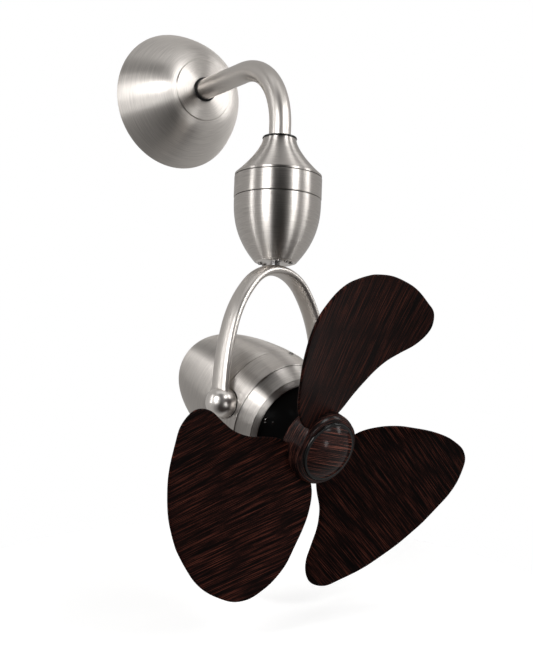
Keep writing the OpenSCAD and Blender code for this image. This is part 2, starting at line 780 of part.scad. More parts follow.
cover_screw_angles = [89, 209, 329];
z_screw = z_seam + 6;
module cover_screws() {
    r = head_d / 2;
    color(steel) head() for (a = cover_screw_angles) rotate([0, 0, a])
        translate([r - 0.2, 0, z_screw]) rotate([0, 90, 0]) pan_screw(3, cast_t + 2.6);
}

// tilt pin: shouldered in the housing, turning in the bore of the knob
module tilt_pin() {
    inner = flat_span / 2 - 10;
    color(steel) {
        pin_axis(inner, yoke_a + 3, tilt_pin_d);
        rotate([0, 90, 0]) translate([0, 0, inner - 5])
            cylinder(d = tilt_pin_d * 1.7 / cos(30), h = 5, $fn = 6);
    }
}

module left_tilt_pin() {
    head() rotate([0, 180, 0]) tilt_pin();
}

module right_tilt_pin() {
    head() tilt_pin();
}

// motor: a deep shell behind, a black bell in front, stator and rotor between them
shell_t = 2.6;
z_shell_back = -34;
z_bell_seat = z_lip - 5 - seat;
z_stator = -14;
z_rear_bearing = z_shell_back - 5;
bell_flange_r = opening_d / 2 + 2.2;
module motor_shell() {
    ri = stator_d / 2 + running;
    ro = ri + shell_t;
    color(steel) head() difference() {
        rotate_extrude() polygon([
            [shaft_d / 2 + 3, z_shell_back - 8], [shaft_bearing_d / 2 + 4, z_shell_back - 8],
            [shaft_bearing_d / 2 + 5, z_shell_back], [ro - 6, z_shell_back],
            [ro, z_shell_back + 6], [ro, z_bell_seat - 8 - seat], [ri, z_bell_seat - 8 - seat],
            [ri, z_stator], [ri - 2.5, z_stator], [ri - 2.5, z_shell_back + shell_t],
            [shaft_d / 2 + 3, z_shell_back + shell_t]]);
        translate([0, 0, z_rear_bearing])
            cylinder(d = shaft_bearing_d + 2 * running, h = 30);
    }
}

// black front bell: a ribbed cone that closes the opening and holds the front bearing
z_neck = 69;
neck_r = 19;
bell_screw_r = 43;
// radius, angle and height over the seat of each screw in the bell
bell_screw_places = [[50, 176, 3.6], [39, 176, 7.4], [27.5, 176, 13], [44, 68, 6],
    [44, 308, 6]];
module front_bell() {
    ri = stator_d / 2 + running;
    color(black) head() difference() {
        rotate_extrude() polygon([
            [ri, z_bell_seat - 8], [ri + shell_t, z_bell_seat - 8],
            [ri + shell_t, z_bell_seat - 4], [bell_flange_r, z_bell_seat - 4],
            [bell_flange_r, z_bell_seat], [opening_d / 2 - 1 - seat, z_bell_seat],
            [opening_d / 2 - 2, z_bell_seat + 2], [bell_screw_r + 7, z_bell_seat + 5],
            [bell_screw_r - 5, z_bell_seat + 9], [neck_r + 5, z_neck - 8],
            [neck_r + 1, z_neck - 4], [neck_r, z_neck], [shaft_d / 2 + 1.5, z_neck],
            [shaft_d / 2 + 1.5, z_neck - 3], [neck_r - 2, z_neck - 12],
            [bell_screw_r - 7, z_bell_seat + 3], [ri, z_bell_seat - 1]]);
        translate([0, 0, z_neck - 3 - shaft_bearing_w - 4])
            cylinder(d = shaft_bearing_d + 2 * running, h = shaft_bearing_w + 4);
        for (p = bell_screw_places) rotate([0, 0, p[1]])
            translate([p[0], 0, z_bell_seat]) {
                cylinder(d = 4.2, h = 40, center = true);
                translate([0, 0, p[2]]) cylinder(d = 9, h = 20);
            }
    }
}

module bell_screws() {
    color(steel) head() for (p = bell_screw_places) rotate([0, 0, p[1]])
        translate([p[0], 0, z_bell_seat + p[2]]) pan_screw(4, 8);
}

// stator laminations with eight poles
poles = 8;
pole_w = 8;
module stator_core() {
    ri = rotor_d / 2 + air_gap;
    color(steel) head() translate([0, 0, z_stator]) difference() {
        union() {
            tube(stator_d, stator_d - 12, stator_l);
            intersection() {
                union() {
                    around(poles, 0, 22.5) translate([ri - 2, -pole_w / 2, 0])
                        cube([stator_d / 2 - ri - 1, pole_w, stator_l]);
                    difference() {
                        tube(2 * ri + 7, 2 * ri - 1, stator_l);
                        around(poles, ri + 2, 0) translate([0, 0, -1])
                            cube([14, 4, 3 * stator_l], center = true);
                    }
                }
                cylinder(d = stator_d - 2, h = stator_l);
            }
        }
        translate([0, 0, -1]) cylinder(r = ri, h = stator_l + 2);
    }
}

// one coil round each pole
coil_t = 5;
module stator_windings() {
    r0 = rotor_d / 2 + air_gap + 4.2;
    r1 = stator_d / 2 - 7.4;
    color(copper) head() translate([0, 0, z_stator + stator_l / 2]) around(poles, 0, 22.5)
        translate([(r0 + r1) / 2, 0, 0]) difference() {
            cube([r1 - r0, pole_w + 2 * coil_t - 1, stator_l + 2 * coil_t], center = true);
            cube([r1 - r0 + 1, pole_w + 0.4, stator_l + 0.4], center = true);
        }
}

module shaft_bearings() {
    color(steel) head() for (z = [z_rear_bearing, z_neck - 3 - shaft_bearing_w])
        translate([0, 0, z])
            ball_bearing(shaft_bearing_d, shaft_d + 2 * running, shaft_bearing_w);
}

// run capacitor, clipped to the back of the motor shell
module run_capacitor() {
    color([0.85, 0.85, 0.82]) head() translate([0, 30, z_shell_back - 25.2])
        linear_extrude(25) {
            for (s = [-1, 1]) translate([s * 12, 0]) circle(d = 18);
            square([24, 18], center = true);
        }
}

// turning parts
z_hub_back = 79;
z_hub_front = ring_front - 3;
tip = sweep_d / 2;
slot_in = tip * 0.09;
screw_places = [[tip * 0.13, tip * 0.04], [tip * 0.12, tip * 0.093]];
blade_screw_l = blade_plane + blade_t - z_hub_back + 0.5;
module motor_shaft() {
    color(steel) head() translate([0, 0, z_rear_bearing - 1])
        cylinder(d = shaft_d, h = z_hub_front + 2 - z_rear_bearing + 1);
}

module rotor_core() {
    color([0.6, 0.6, 0.62]) head() translate([0, 0, z_stator - 4]) difference() {
        union() {
            translate([0, 0, 4]) cylinder(d = rotor_d, h = stator_l);
            cylinder(d = rotor_d - 6, h = stator_l + 8);
        }
        translate([0, 0, -1]) cylinder(d = shaft_d + 2 * running, h = stator_l + 20);
    }
}

// hub: a turned drum trimmed to three ears, one over each blade root, with a pitched slot
// behind each ear for the root
z_full = z_hub_back + 23;
ear_turn = 25;
module hub_drum() {
    r = hub_d / 2;
    rf = hub_front_d / 2 + 0.5;
    rotate_extrude() polygon(concat(
        [[shaft_d / 2 + running, z_hub_back - 4], [16, z_hub_back - 4], [18, z_hub_back]],
        [for (i = [0:6]) let (a = i * 15)
            [r - 16 + 16 * sin(a), z_hub_back + 13 - 13 * cos(a)]],
        [for (i = [1:8]) let (t = i / 8)
            [rf + (r - rf) * pow(max(0, 1 - pow(t, 3)), 0.5),
            z_full + (z_hub_front - z_full) * t]],
        [[rf - 2.5, z_hub_front], [14, z_hub_front], [14, z_hub_front - 9],
        [shaft_d / 2 + running, z_hub_front - 9]]));
}

module hub() {
    color(wood) head() difference() {
        intersection() {
            hub_drum();
            translate([0, 0, z_hub_back - 6]) linear_extrude(z_hub_front - z_hub_back + 12)
                for (i = [0:2]) rotate(first_blade + 120 * i + ear_turn)
                    translate([ear_out, 0]) circle(r = hub_d / 2 - ear_out);
        }
        for (i = [0:2]) translate([0, 0, blade_plane]) rotate([0, 0, first_blade + 120 * i])
            rotate([0, -cone, 0]) rotate([atan(tan(pitch) * cos(cone)), 0, 0])
                translate([slot_in, -tip * 0.1, -blade_t / 2 - seat])
                    cube([hub_d, tip * 0.34, blade_t + 2 * seat]);
        for (i = [0:2], p = screw_places) rotate([0, 0, first_blade + 120 * i])
            translate([p[0], p[1], z_hub_back - 5])
                cylinder(d = 4.2, h = blade_screw_l + 6);
    }
}

// blade i: +X out along the blade, +Y anticlockwise seen from the front, +Z forward
module blade_frame(i) {
    head() translate([0, 0, blade_plane]) rotate([0, 0, first_blade + 120 * i]) children();
}

// paddle outline: a closed spline through points chosen round the edge, as shares of the
// tip radius; it runs from the root along the leading edge to the tip and back
outline = [[0.102, 0.208], [0.15, 0.303], [0.219, 0.381], [0.299, 0.444], [0.382, 0.502],
    [0.477, 0.548], [0.559, 0.572], [0.647, 0.584], [0.734, 0.567], [0.809, 0.519],
    [0.873, 0.46], [0.92, 0.389], [0.949, 0.311], [0.971, 0.236], [0.986, 0.161], [0.992, 0.01],
    [0.969, -0.151], [0.939, -0.257], [0.889, -0.368], [0.844, -0.451], [0.771, -0.496],
    [0.703, -0.491], [0.633, -0.444], [0.574, -0.364], [0.519, -0.291], [0.465, -0.24],
    [0.397, -0.194], [0.298, -0.149], [0.221, -0.109], [0.165, -0.057], [0.122, 0.009],
    [0.098, 0.086]];
edge_steps = 2;
function wrap(list, i) = list[(i + len(list)) % len(list)];
function spline(p, q, r, s, t) = 0.5 * (2 * q + (r - p) * t
    + (2 * p - 5 * q + 4 * r - s) * t * t + (3 * q - p - 3 * r + s) * t * t * t);
edge = [for (i = [0:len(outline) - 1], k = [0:edge_steps - 1])
    tip * spline(wrap(outline, i - 1), outline[i], wrap(outline, i + 1), wrap(outline, i + 2),
        k / edge_steps)];

// the blade's middle sheet: a pitched plane at the root; further out it is cambered,
// twisted flatter towards the tip and curled slightly forward
function ease(t) = let (u = max(0, min(1, t))) u * u * (3 - 2 * u);
function blade_z(x, y) = let (u = x / tip, v = y / tip)
    tan(cone) * x + tan(pitch) * y
    + ease((u - 0.215) / 0.2) * tip * (camber * v * v - twist * u * v + curl * u * u);

// rings of points: scale towards the middle, and half thickness there
rings = [[1, 0.12], [0.9955, 0.30], [0.988, 0.42], [0.965, 0.5], [0.8, 0.5], [0.55, 0.5],
    [0.28, 0.5]];
core = tip * [0.57, 0.09];
function ring_points(k, side) = [for (p = edge) let (
    q = core + (p - core) * rings[k][0],
    z = blade_z(q[0], q[1]) + side * rings[k][1] * blade_t) [q[0], q[1], z]];
module paddle() {
    n = len(edge);
    m = len(rings);
    front = [for (k = [0:m - 1]) each ring_points(k, 1)];
    back = [for (k = [0:m - 1]) each ring_points(k, -1)];
    zc = blade_z(core[0], core[1]);
    points = concat(front, back, [[core[0], core[1], zc + blade_t / 2],
        [core[0], core[1], zc - blade_t / 2]]);
    function f(k, i) = k * n + i % n;
    function b(k, i) = (m + k) * n + i % n;
    top = [for (k = [0:m - 2], i = [0:n - 1]) each
        [[f(k, i), f(k + 1, i), f(k, i + 1)], [f(k, i + 1), f(k + 1, i), f(k + 1, i + 1)]]];
    under = [for (k = [0:m - 2], i = [0:n - 1]) each
        [[b(k, i), b(k, i + 1), b(k + 1, i)], [b(k, i + 1), b(k + 1, i + 1), b(k + 1, i)]]];
    rim = [for (i = [0:n - 1]) each
        [[f(0, i), f(0, i + 1), b(0, i)], [f(0, i + 1), b(0, i + 1), b(0, i)]]];
    caps = [for (i = [0:n - 1]) each
        [[f(m - 1, i), 2 * m * n, f(m - 1, i + 1)],
        [b(m - 1, i), b(m - 1, i + 1), 2 * m * n + 1]]];
    polyhedron(points, concat(top, under, rim, caps));
}

module blade(i) {
    color(wood) blade_frame(i) difference() {
        paddle();
        for (p = screw_places) translate([p[0], p[1], -blade_screw_l])
            cylinder(d = 4.2, h = 2 * blade_screw_l);
    }
}

module blade_a() {
    blade(0);
}

module blade_b() {
    blade(2);
}

module blade_c() {
    blade(1);
}

// screws from behind, through the back of the hub into each blade root
module blade_screws() {
    color(steel) for (i = [0:2]) blade_frame(i) for (p = screw_places)
        translate([p[0], p[1], z_hub_back - blade_plane - seat]) rotate([180, 0, 0])
            pan_screw(4, blade_screw_l);
}

module hub_nut() {
    color(steel) head() translate([0, 0, z_hub_front - 9])
        hex_nut(17, shaft_d + 2 * running, 7);
}

module cap_ring() {
    r = hub_front_d / 2;
    color(black) head() translate([0, 0, z_hub_front]) tube(2 * r - 0.4, 2 * r - 9, 3);
}

module hub_cap() {
    r = hub_front_d / 2 - 1.4;
    sr = (r * r + dome_h * dome_h) / (2 * dome_h);
    color(wood) head() translate([0, 0, ring_front]) intersection() {
        translate([0, 0, dome_h - sr]) sphere(r = sr);
        cylinder(r = r + 1, h = dome_h + 1);
    }
}

wall_plate();
arm_flange();
flange_washers();
flange_nuts();
arm_tube();
canopy_bowl();
canopy_cap();
arm_grommet();
collar_ring();
upper_bell();
tube_coupler();
coupler_bolt();
coupler_screws();
mount_plate();
oscillation_motor();
motor_screws();
standoffs();
bearing_plate();
plate_screws();
spindle_bearings();
housing_band();
lower_cup();
drive_pinion();
spindle();
yoke_gear();
spindle_nut();
foot_disc();
foot_screws();
yoke_arch();
left_knob();
right_knob();
knob_gaskets();
front_housing();
rear_cover();
cover_screws();
left_tilt_pin();
right_tilt_pin();
motor_shell();
front_bell();
bell_screws();
stator_core();
stator_windings();
shaft_bearings();
run_capacitor();
motor_shaft();
rotor_core();
hub();
blade_a();
blade_b();
blade_c();
blade_screws();
hub_nut();
hub_cap();
cap_ring();
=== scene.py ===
# %% [markdown]
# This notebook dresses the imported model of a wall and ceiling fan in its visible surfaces.
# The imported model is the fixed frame: it says where each piece is and what moves with what.
# Lengths are written in millimetres and turned into metres when a mesh is finished.
# The origin is on the wall, +Y points into the wall and +Z is up.

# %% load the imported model
import math

import bmesh
import bpy
from mathutils import Matrix, Vector


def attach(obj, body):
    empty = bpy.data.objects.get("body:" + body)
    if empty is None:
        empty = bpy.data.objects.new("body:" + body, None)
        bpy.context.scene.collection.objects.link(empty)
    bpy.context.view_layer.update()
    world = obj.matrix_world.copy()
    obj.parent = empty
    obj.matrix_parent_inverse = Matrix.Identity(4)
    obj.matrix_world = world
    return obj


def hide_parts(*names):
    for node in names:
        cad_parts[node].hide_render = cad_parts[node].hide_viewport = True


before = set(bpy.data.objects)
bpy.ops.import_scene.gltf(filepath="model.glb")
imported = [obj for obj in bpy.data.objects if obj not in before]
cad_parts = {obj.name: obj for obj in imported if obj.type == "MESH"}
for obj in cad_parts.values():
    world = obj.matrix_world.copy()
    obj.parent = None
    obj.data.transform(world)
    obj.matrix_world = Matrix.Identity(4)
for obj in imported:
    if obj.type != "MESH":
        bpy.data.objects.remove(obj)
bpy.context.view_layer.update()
print("nodes", len(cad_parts))

# %% [markdown]
# The main sizes are those of the CAD source. Each part of the fan has a frame of its own:
# the wall plate, the column under the arm, the yoke on its tilt axis, and the fan head.
# SEAT is the usual gap between two pieces that touch, SPUN is the thickness of spun sheet,
# and TUBE_BORE is the hole of a ring that sits on the arm.

# %% sizes and frames
MM = 0.001
ARM_REACH = 271.0
PIVOT_DROP = 468.0
YAW = math.radians(11.5)
TILT = math.radians(29)
TUBE_R = 14.3
TUBE_BORE = TUBE_R + 0.05
SEAT = 0.3
SPUN = 1.4

WALL = Matrix.Rotation(math.radians(90), 4, "X")
COLUMN = Matrix.Translation((0, -ARM_REACH, 0))
YOKE = Matrix.Translation((0, -ARM_REACH, -PIVOT_DROP)) @ Matrix.Rotation(YAW, 4, "Z")
HEAD = YOKE @ Matrix.Rotation(math.radians(90) + TILT, 4, "X")
print("head looks along", [round(x, 3) for x in HEAD.to_3x3() @ Vector((0, 0, 1))])

# %% [markdown]
# Most of the real fan is spun or turned, so most pieces start as an outline: points with a
# distance from the axis and a height. Corners that a tool would break are rounded with short
# arcs. Curved stretches come from a formula, at values from 0 to 1 that can crowd together
# where the curve turns quickly. A subdivided mesh would need fewer points, but its edges
# would be softer than those in the photo.

# %% outlines
def even(steps):
    return [i / steps for i in range(steps + 1)]


def closing(steps, power):
    """Values from 0 to 1 that crowd together towards 1."""
    return [1 - (1 - t) ** power for t in even(steps)]


def quarter(steps):
    """Angles from 0 to a right angle."""
    return [math.pi / 2 * t for t in even(steps)]


def rounded(points, steps=5):
    """points are (r, z) or (r, z, corner radius); returns a closed outline."""
    out = []
    n = len(points)
    for i, p in enumerate(points):
        here = Vector(p[:2])
        radius = p[2] if len(p) > 2 else 0
        if radius <= 0:
            out.append(here)
            continue
        back = Vector(points[i - 1][:2]) - here
        on = Vector(points[(i + 1) % n][:2]) - here
        half = back.angle(on) / 2
        reach = min(radius / math.tan(half), back.length * 0.49, on.length * 0.49)
        r = reach * math.tan(half)
        centre = here + (back.normalized() + on.normalized()).normalized() * (r / math.sin(half))
        a = here + back.normalized() * reach - centre
        b = here + on.normalized() * reach - centre
        for t in even(steps):
            d = a.slerp(b, t) if a.angle(b) > 1e-4 else a.lerp(b, t)
            out.append(centre + d)
    return [(v.x, v.y) for v in out]


print("a broken corner has", len(rounded([(0, 0), (9, 0, 1), (9, 9)])) - 2, "points")

# %% [markdown]
# Every piece is finished alike. Its mesh is moved from its own frame into the fan's,
# millimetres become metres and its faces are turned outwards. It is shaded smooth, except over
# edges that are sharp on the real piece. Then it is handed to the body it moves with, and
# takes the place of its CAD mesh.

# %% finishing a piece
SHARP = 35


def as_object(bm, name, place):
    bm.transform(Matrix.Scale(MM, 4) @ place)
    bmesh.ops.recalc_face_normals(bm, faces=bm.faces)
    mesh = bpy.data.meshes.new(name)
    bm.to_mesh(mesh)
    bm.free()
    made = bpy.data.objects.new(name, mesh)
    bpy.context.scene.collection.objects.link(made)
    return made


def smooth_over(piece, sharp=SHARP):
    piece.data.shade_smooth()
    piece.data.set_sharp_from_angle(angle=math.radians(sharp))


def coat_with(piece, mat):
    piece.data.materials.clear()
    piece.data.materials.append(mat)


def finish(bm, name, body, place, mat, nodes=(), sharp=SHARP):
    """Turns a mesh drawn in the frame place into a piece that rides on a body."""
    piece = as_object(bm, name, place)
    smooth_over(piece, sharp)
    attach(piece, body)
    if nodes:
        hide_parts(*nodes)
    coat_with(piece, mat)
    return piece


print("edges over", SHARP, "degrees stay sharp")

# %% [markdown]
# Spinning an outline once round is what a lathe does, and bmesh has an operator for it. The
# points on the axis and the two ends of the turn are merged, so no seam is left. The UV map
# is written here too: U is the turn and V is the way along the outline, in hundreds of
# millimetres. Brushing and turned grain follow this map.

# %% turned pieces
UV_UNIT = 0.01
TINY = 1e-5


def turn(outline, steps=144):
    """Spins an outline of (r, z) points round the Z axis."""
    bm = bmesh.new()
    along = bm.verts.layers.float.new("along")
    verts = []
    way = 0
    for i, (r, z) in enumerate(outline):
        if i:
            way += math.hypot(r - outline[i - 1][0], z - outline[i - 1][1])
        v = bm.verts.new((r, 0, z))
        v[along] = way
        verts.append(v)
    edges = [bm.edges.new((verts[i - 1], verts[i])) for i in range(1, len(verts))]
    on_axis = max(outline[0][0], outline[-1][0]) < TINY
    if not on_axis and math.dist(outline[0], outline[-1]) > TINY:
        edges.append(bm.edges.new((verts[-1], verts[0])))
    bmesh.ops.rotate(bm, verts=verts, cent=(0, 0, 0),
                     matrix=Matrix.Rotation(math.radians(90), 3, "Z"))
    bmesh.ops.spin(bm, geom=verts + edges, cent=(0, 0, 0), axis=(0, 0, 1),
                   angle=2 * math.pi, steps=steps, use_merge=True)
    bmesh.ops.remove_doubles(bm, verts=bm.verts, dist=TINY)
    uv = bm.loops.layers.uv.new("turned")
    for face in bm.faces:
        mid = face.calc_center_median()
        middle = math.atan2(mid.y, mid.x)
        for loop in face.loops:
            x, y = loop.vert.co.xy
            a = middle if math.hypot(x, y) < TINY else math.atan2(y, x)
            a += 2 * math.pi * round((middle - a) / (2 * math.pi))
            loop[uv].uv = (a / (2 * math.pi), loop.vert[along] * UV_UNIT)
    return bm


print("one map unit is", 1 / UV_UNIT, "mm")

# %% [markdown]
# Materials are built from nodes. These short helpers start a group or a material, or add one
# node and link it. An input that isn't linked gets a plain value on its own socket.

# %% node helpers
BUMP_DEPTH = 0.3 * MM


def new_group(name, inputs, outputs):
    g = bpy.data.node_groups.new(name, "ShaderNodeTree")
    for label, kind in inputs:
        g.interface.new_socket(label, in_out="INPUT", socket_type=kind)
    for label, kind in outputs:
        g.interface.new_socket(label, in_out="OUTPUT", socket_type=kind)
    return g, g.nodes.new("NodeGroupInput"), g.nodes.new("NodeGroupOutput")


def math_node(tree, op, a, b=None):
    n = tree.nodes.new("ShaderNodeMath")
    n.operation = op
    for i, x in enumerate((a, b)):
        if x is None:
            continue
        if isinstance(x, (int, float)):
            n.inputs[i].default_value = x
        else:
            tree.links.new(x, n.inputs[i])
    return n.outputs[0]


def noise(tree, vector, scale, detail, rough):
    n = tree.nodes.new("ShaderNodeTexNoise")
    n.inputs["Scale"].default_value = scale
    n.inputs["Detail"].default_value = detail
    n.inputs["Roughness"].default_value = rough
    tree.links.new(vector, n.inputs["Vector"])
    return n.outputs["Fac"]


def ramp(tree, value, stops):
    n = tree.nodes.new("ShaderNodeValToRGB")
    band = n.color_ramp
    while len(band.elements) < len(stops):
        band.elements.new(0.5)
    for e, (pos, col) in zip(band.elements, stops):
        e.position = pos
        e.color = (*col, 1)
    tree.links.new(value, n.inputs["Fac"])
    return n.outputs["Color"]


def new_material(name):
    mat = bpy.data.materials.new(name)
    mat.use_nodes = True
    return mat, mat.node_tree, mat.node_tree.nodes["Principled BSDF"]


def add_bump(tree, bsdf, height, strength):
    b = tree.nodes.new("ShaderNodeBump")
    b.inputs["Strength"].default_value = strength
    b.inputs["Distance"].default_value = BUMP_DEPTH
    tree.links.new(height, b.inputs["Height"])
    tree.links.new(b.outputs[0], bsdf.inputs["Normal"])


print("bumps are", BUMP_DEPTH, "m deep")

# %% [markdown]
# The real metal is nickel plate, brushed while each piece turns on the lathe. One shared group
# makes the fine rings and the soft wear from the UV map. Each nickel finish uses the rings for
# its colour and both for its roughness. A picture of brushed metal would show its seams and
# its size, and a noise that is stretched round the turning does not.

# %% brushed rings
RINGS_PER_UNIT = 75.0
WEAR_PER_UNIT = 2.0


def make_rings():
    g, gi, go = new_group("brushed_rings",
                          [("Vector", "NodeSocketVector"), ("Turns", "NodeSocketFloat")],
                          [("Rings", "NodeSocketFloat"), ("Wear", "NodeSocketFloat")])
    sep = g.nodes.new("ShaderNodeSeparateXYZ")
    g.links.new(gi.outputs["Vector"], sep.inputs[0])
    angle = math_node(g, "MULTIPLY", sep.outputs["X"], 2 * math.pi)
    c, s = math_node(g, "COSINE", angle), math_node(g, "SINE", angle)
    near = g.nodes.new("ShaderNodeCombineXYZ")
    g.links.new(math_node(g, "MULTIPLY", c, gi.outputs["Turns"]), near.inputs[0])
    g.links.new(math_node(g, "MULTIPLY", s, gi.outputs["Turns"]), near.inputs[1])
    g.links.new(math_node(g, "MULTIPLY", sep.outputs["Y"], RINGS_PER_UNIT), near.inputs[2])
    g.links.new(noise(g, near.outputs[0], 1.0, 3.0, 0.6), go.inputs["Rings"])
    far = g.nodes.new("ShaderNodeCombineXYZ")
    g.links.new(c, far.inputs[0])
    g.links.new(s, far.inputs[1])
    g.links.new(math_node(g, "MULTIPLY", sep.outputs["Y"], WEAR_PER_UNIT), far.inputs[2])
    g.links.new(noise(g, far.outputs[0], 1.6, 3.0, 0.6), go.inputs["Wear"])
    return g


RINGS = make_rings()
print("ring group", RINGS.name)

# %% [markdown]
# The spun pieces also scatter light across the rings, so their highlights stretch along the
# outline, as in the photo. That is the Anisotropic input, which needs the direction of the UV
# map. The tubes and knobs are satin: they have faint rings and no such stretch.

# %% nickel
RING_SWAY = 2.2
ACROSS_RINGS = 0.25


def nickel(name, color, rough, tone, uneven, brushing=0.0, bump=0.0):
    """tone darkens the dark rings, uneven varies the roughness, brushing stretches highlights."""
    mat, tree, bsdf = new_material(name)
    bsdf.inputs["Metallic"].default_value = 1.0
    bsdf.inputs["Anisotropic"].default_value = brushing
    bsdf.inputs["Anisotropic Rotation"].default_value = ACROSS_RINGS
    uv = tree.nodes.new("ShaderNodeUVMap")
    uv.uv_map = "turned"
    rings = tree.nodes.new("ShaderNodeGroup")
    rings.node_tree = RINGS
    rings.inputs["Turns"].default_value = RING_SWAY
    tree.links.new(uv.outputs[0], rings.inputs["Vector"])
    low = [c * tone for c in color]
    tree.links.new(ramp(tree, rings.outputs["Rings"], [(0.34, low), (0.66, color)]),
                   bsdf.inputs["Base Color"])
    worn = math_node(tree, "MULTIPLY", rings.outputs["Wear"], uneven)
    fine = math_node(tree, "MULTIPLY", rings.outputs["Rings"], uneven)
    tree.links.new(math_node(tree, "ADD", math_node(tree, "ADD", worn, fine), rough - uneven),
                   bsdf.inputs["Roughness"])
    if brushing:
        tangent = tree.nodes.new("ShaderNodeTangent")
        tangent.direction_type = "UV_MAP"
        tangent.uv_map = "turned"
        tree.links.new(tangent.outputs[0], bsdf.inputs["Tangent"])
    if bump:
        add_bump(tree, bsdf, rings.outputs["Rings"], bump)
    return mat


NICKEL = nickel("brushed_nickel", (0.66, 0.625, 0.59), rough=0.38, tone=0.80, uneven=0.10,
                brushing=0.95, bump=0.05)
NICKEL_TUBE = nickel("nickel_tube", (0.64, 0.605, 0.57), rough=0.36, tone=0.97, uneven=0.01)
NICKEL_SMOOTH = nickel("nickel_polished", (0.76, 0.725, 0.69), rough=0.31, tone=0.95, uneven=0.02)
print("nickel finishes", len(bpy.data.materials))

# %% [markdown]
# The other finishes are plain on the real fan too: black paint and lacquer, rubber, zinc plate,
# ground steel, castings, laminations, copper and plastics. Each has a faint patchiness in its
# colour and roughness, at the scale that suits it.

# %% plain finishes
PATCHY = 0.06


def plain(name, color, rough, metal=0.0, coat=0.0, scale=60.0, gloss=0.5):
    mat, tree, bsdf = new_material(name)
    bsdf.inputs["Metallic"].default_value = metal
    bsdf.inputs["Specular IOR Level"].default_value = gloss
    bsdf.inputs["Coat Weight"].default_value = coat
    coord = tree.nodes.new("ShaderNodeTexCoord")
    patch = noise(tree, coord.outputs["Object"], scale, 3.0, 0.6)
    low = [c * 0.85 for c in color]
    tree.links.new(ramp(tree, patch, [(0.3, low), (0.7, color)]), bsdf.inputs["Base Color"])
    varied = math_node(tree, "ADD", math_node(tree, "MULTIPLY", patch, PATCHY), rough - PATCHY / 2)
    tree.links.new(varied, bsdf.inputs["Roughness"])
    return mat


BLACK = plain("gloss_black", (0.004, 0.004, 0.004), 0.22, coat=0.15, gloss=0.25)
EDGE = plain("lacquered_edge", (0.004, 0.003, 0.003), 0.28, coat=0.6, gloss=0.3)
BLACK_SOFT = plain("satin_black", (0.005, 0.005, 0.005), 0.30, gloss=0.3)
RUBBER = plain("black_rubber", (0.008, 0.008, 0.008), 0.5, gloss=0.2)
ZINC = plain("zinc_plate", (0.62, 0.62, 0.63), 0.32, metal=1.0)
BOLT = plain("blackened_bolt", (0.34, 0.33, 0.32), 0.2, metal=1.0)
STEEL = plain("ground_steel", (0.55, 0.55, 0.56), 0.28, metal=1.0)
CASTING = plain("cast_aluminium", (0.62, 0.62, 0.62), 0.45, metal=1.0, scale=200.0)
CAN = plain("lacquered_can", (0.50, 0.50, 0.48), 0.35, metal=0.8)
LAMINATION = plain("lamination", (0.16, 0.16, 0.17), 0.5, metal=0.6, scale=400.0)
COPPER = plain("copper_wire", (0.60, 0.24, 0.10), 0.35, metal=1.0, scale=500.0)
NYLON = plain("gear_nylon", (0.78, 0.75, 0.66), 0.45)
CASE = plain("capacitor_case", (0.72, 0.71, 0.66), 0.5)
print("finishes", len(bpy.data.materials))

# %% [markdown]
# The wood is stained nearly black, with thin reddish streaks along the grain. A wave texture
# would make stripes that are too even, so two stretched noises make it: a fine one for the
# streaks and a broad one that lets them come and go. The grain runs along V of the map called
# grain. The hub's drum has only the map of its turning, so its streaks run round it.

# %% wood
def make_grain():
    g, gi, go = new_group("espresso_grain", [("Vector", "NodeSocketVector")],
                          [("Color", "NodeSocketColor"), ("Streaks", "NodeSocketFloat")])
    layers = []
    for across, along, detail, rough in ((105.0, 1.3, 4.0, 0.65), (24.0, 1.0, 3.0, 0.55)):
        stretch = g.nodes.new("ShaderNodeMapping")
        stretch.inputs["Scale"].default_value = (across, along, across)
        g.links.new(gi.outputs["Vector"], stretch.inputs[0])
        layers.append(noise(g, stretch.outputs[0], 1.0, detail, rough))
    fine, wide = layers
    come_and_go = math_node(g, "ADD", math_node(g, "MULTIPLY", wide, 0.3), 0.85)
    both = math_node(g, "MULTIPLY", fine, come_and_go)
    color = ramp(g, both, [(0.44, (0.0026, 0.0013, 0.0012)), (0.52, (0.0072, 0.0029, 0.0026)),
                           (0.565, (0.036, 0.0100, 0.0072)), (0.66, (0.105, 0.029, 0.018))])
    g.links.new(color, go.inputs["Color"])
    g.links.new(both, go.inputs["Streaks"])
    return g


GRAIN = make_grain()
print("grain group", GRAIN.name)

# %% [markdown]
# The blades are matt, the hub is lightly lacquered and its cap is polished, so one function
# makes three finishes. Lacquer is a coat over the wood: it gives small sharp highlights, while
# the wood under it stays rough.

# %% wood finishes
HUB_SWAY = 0.8
HUB_DRIFT = 0.017


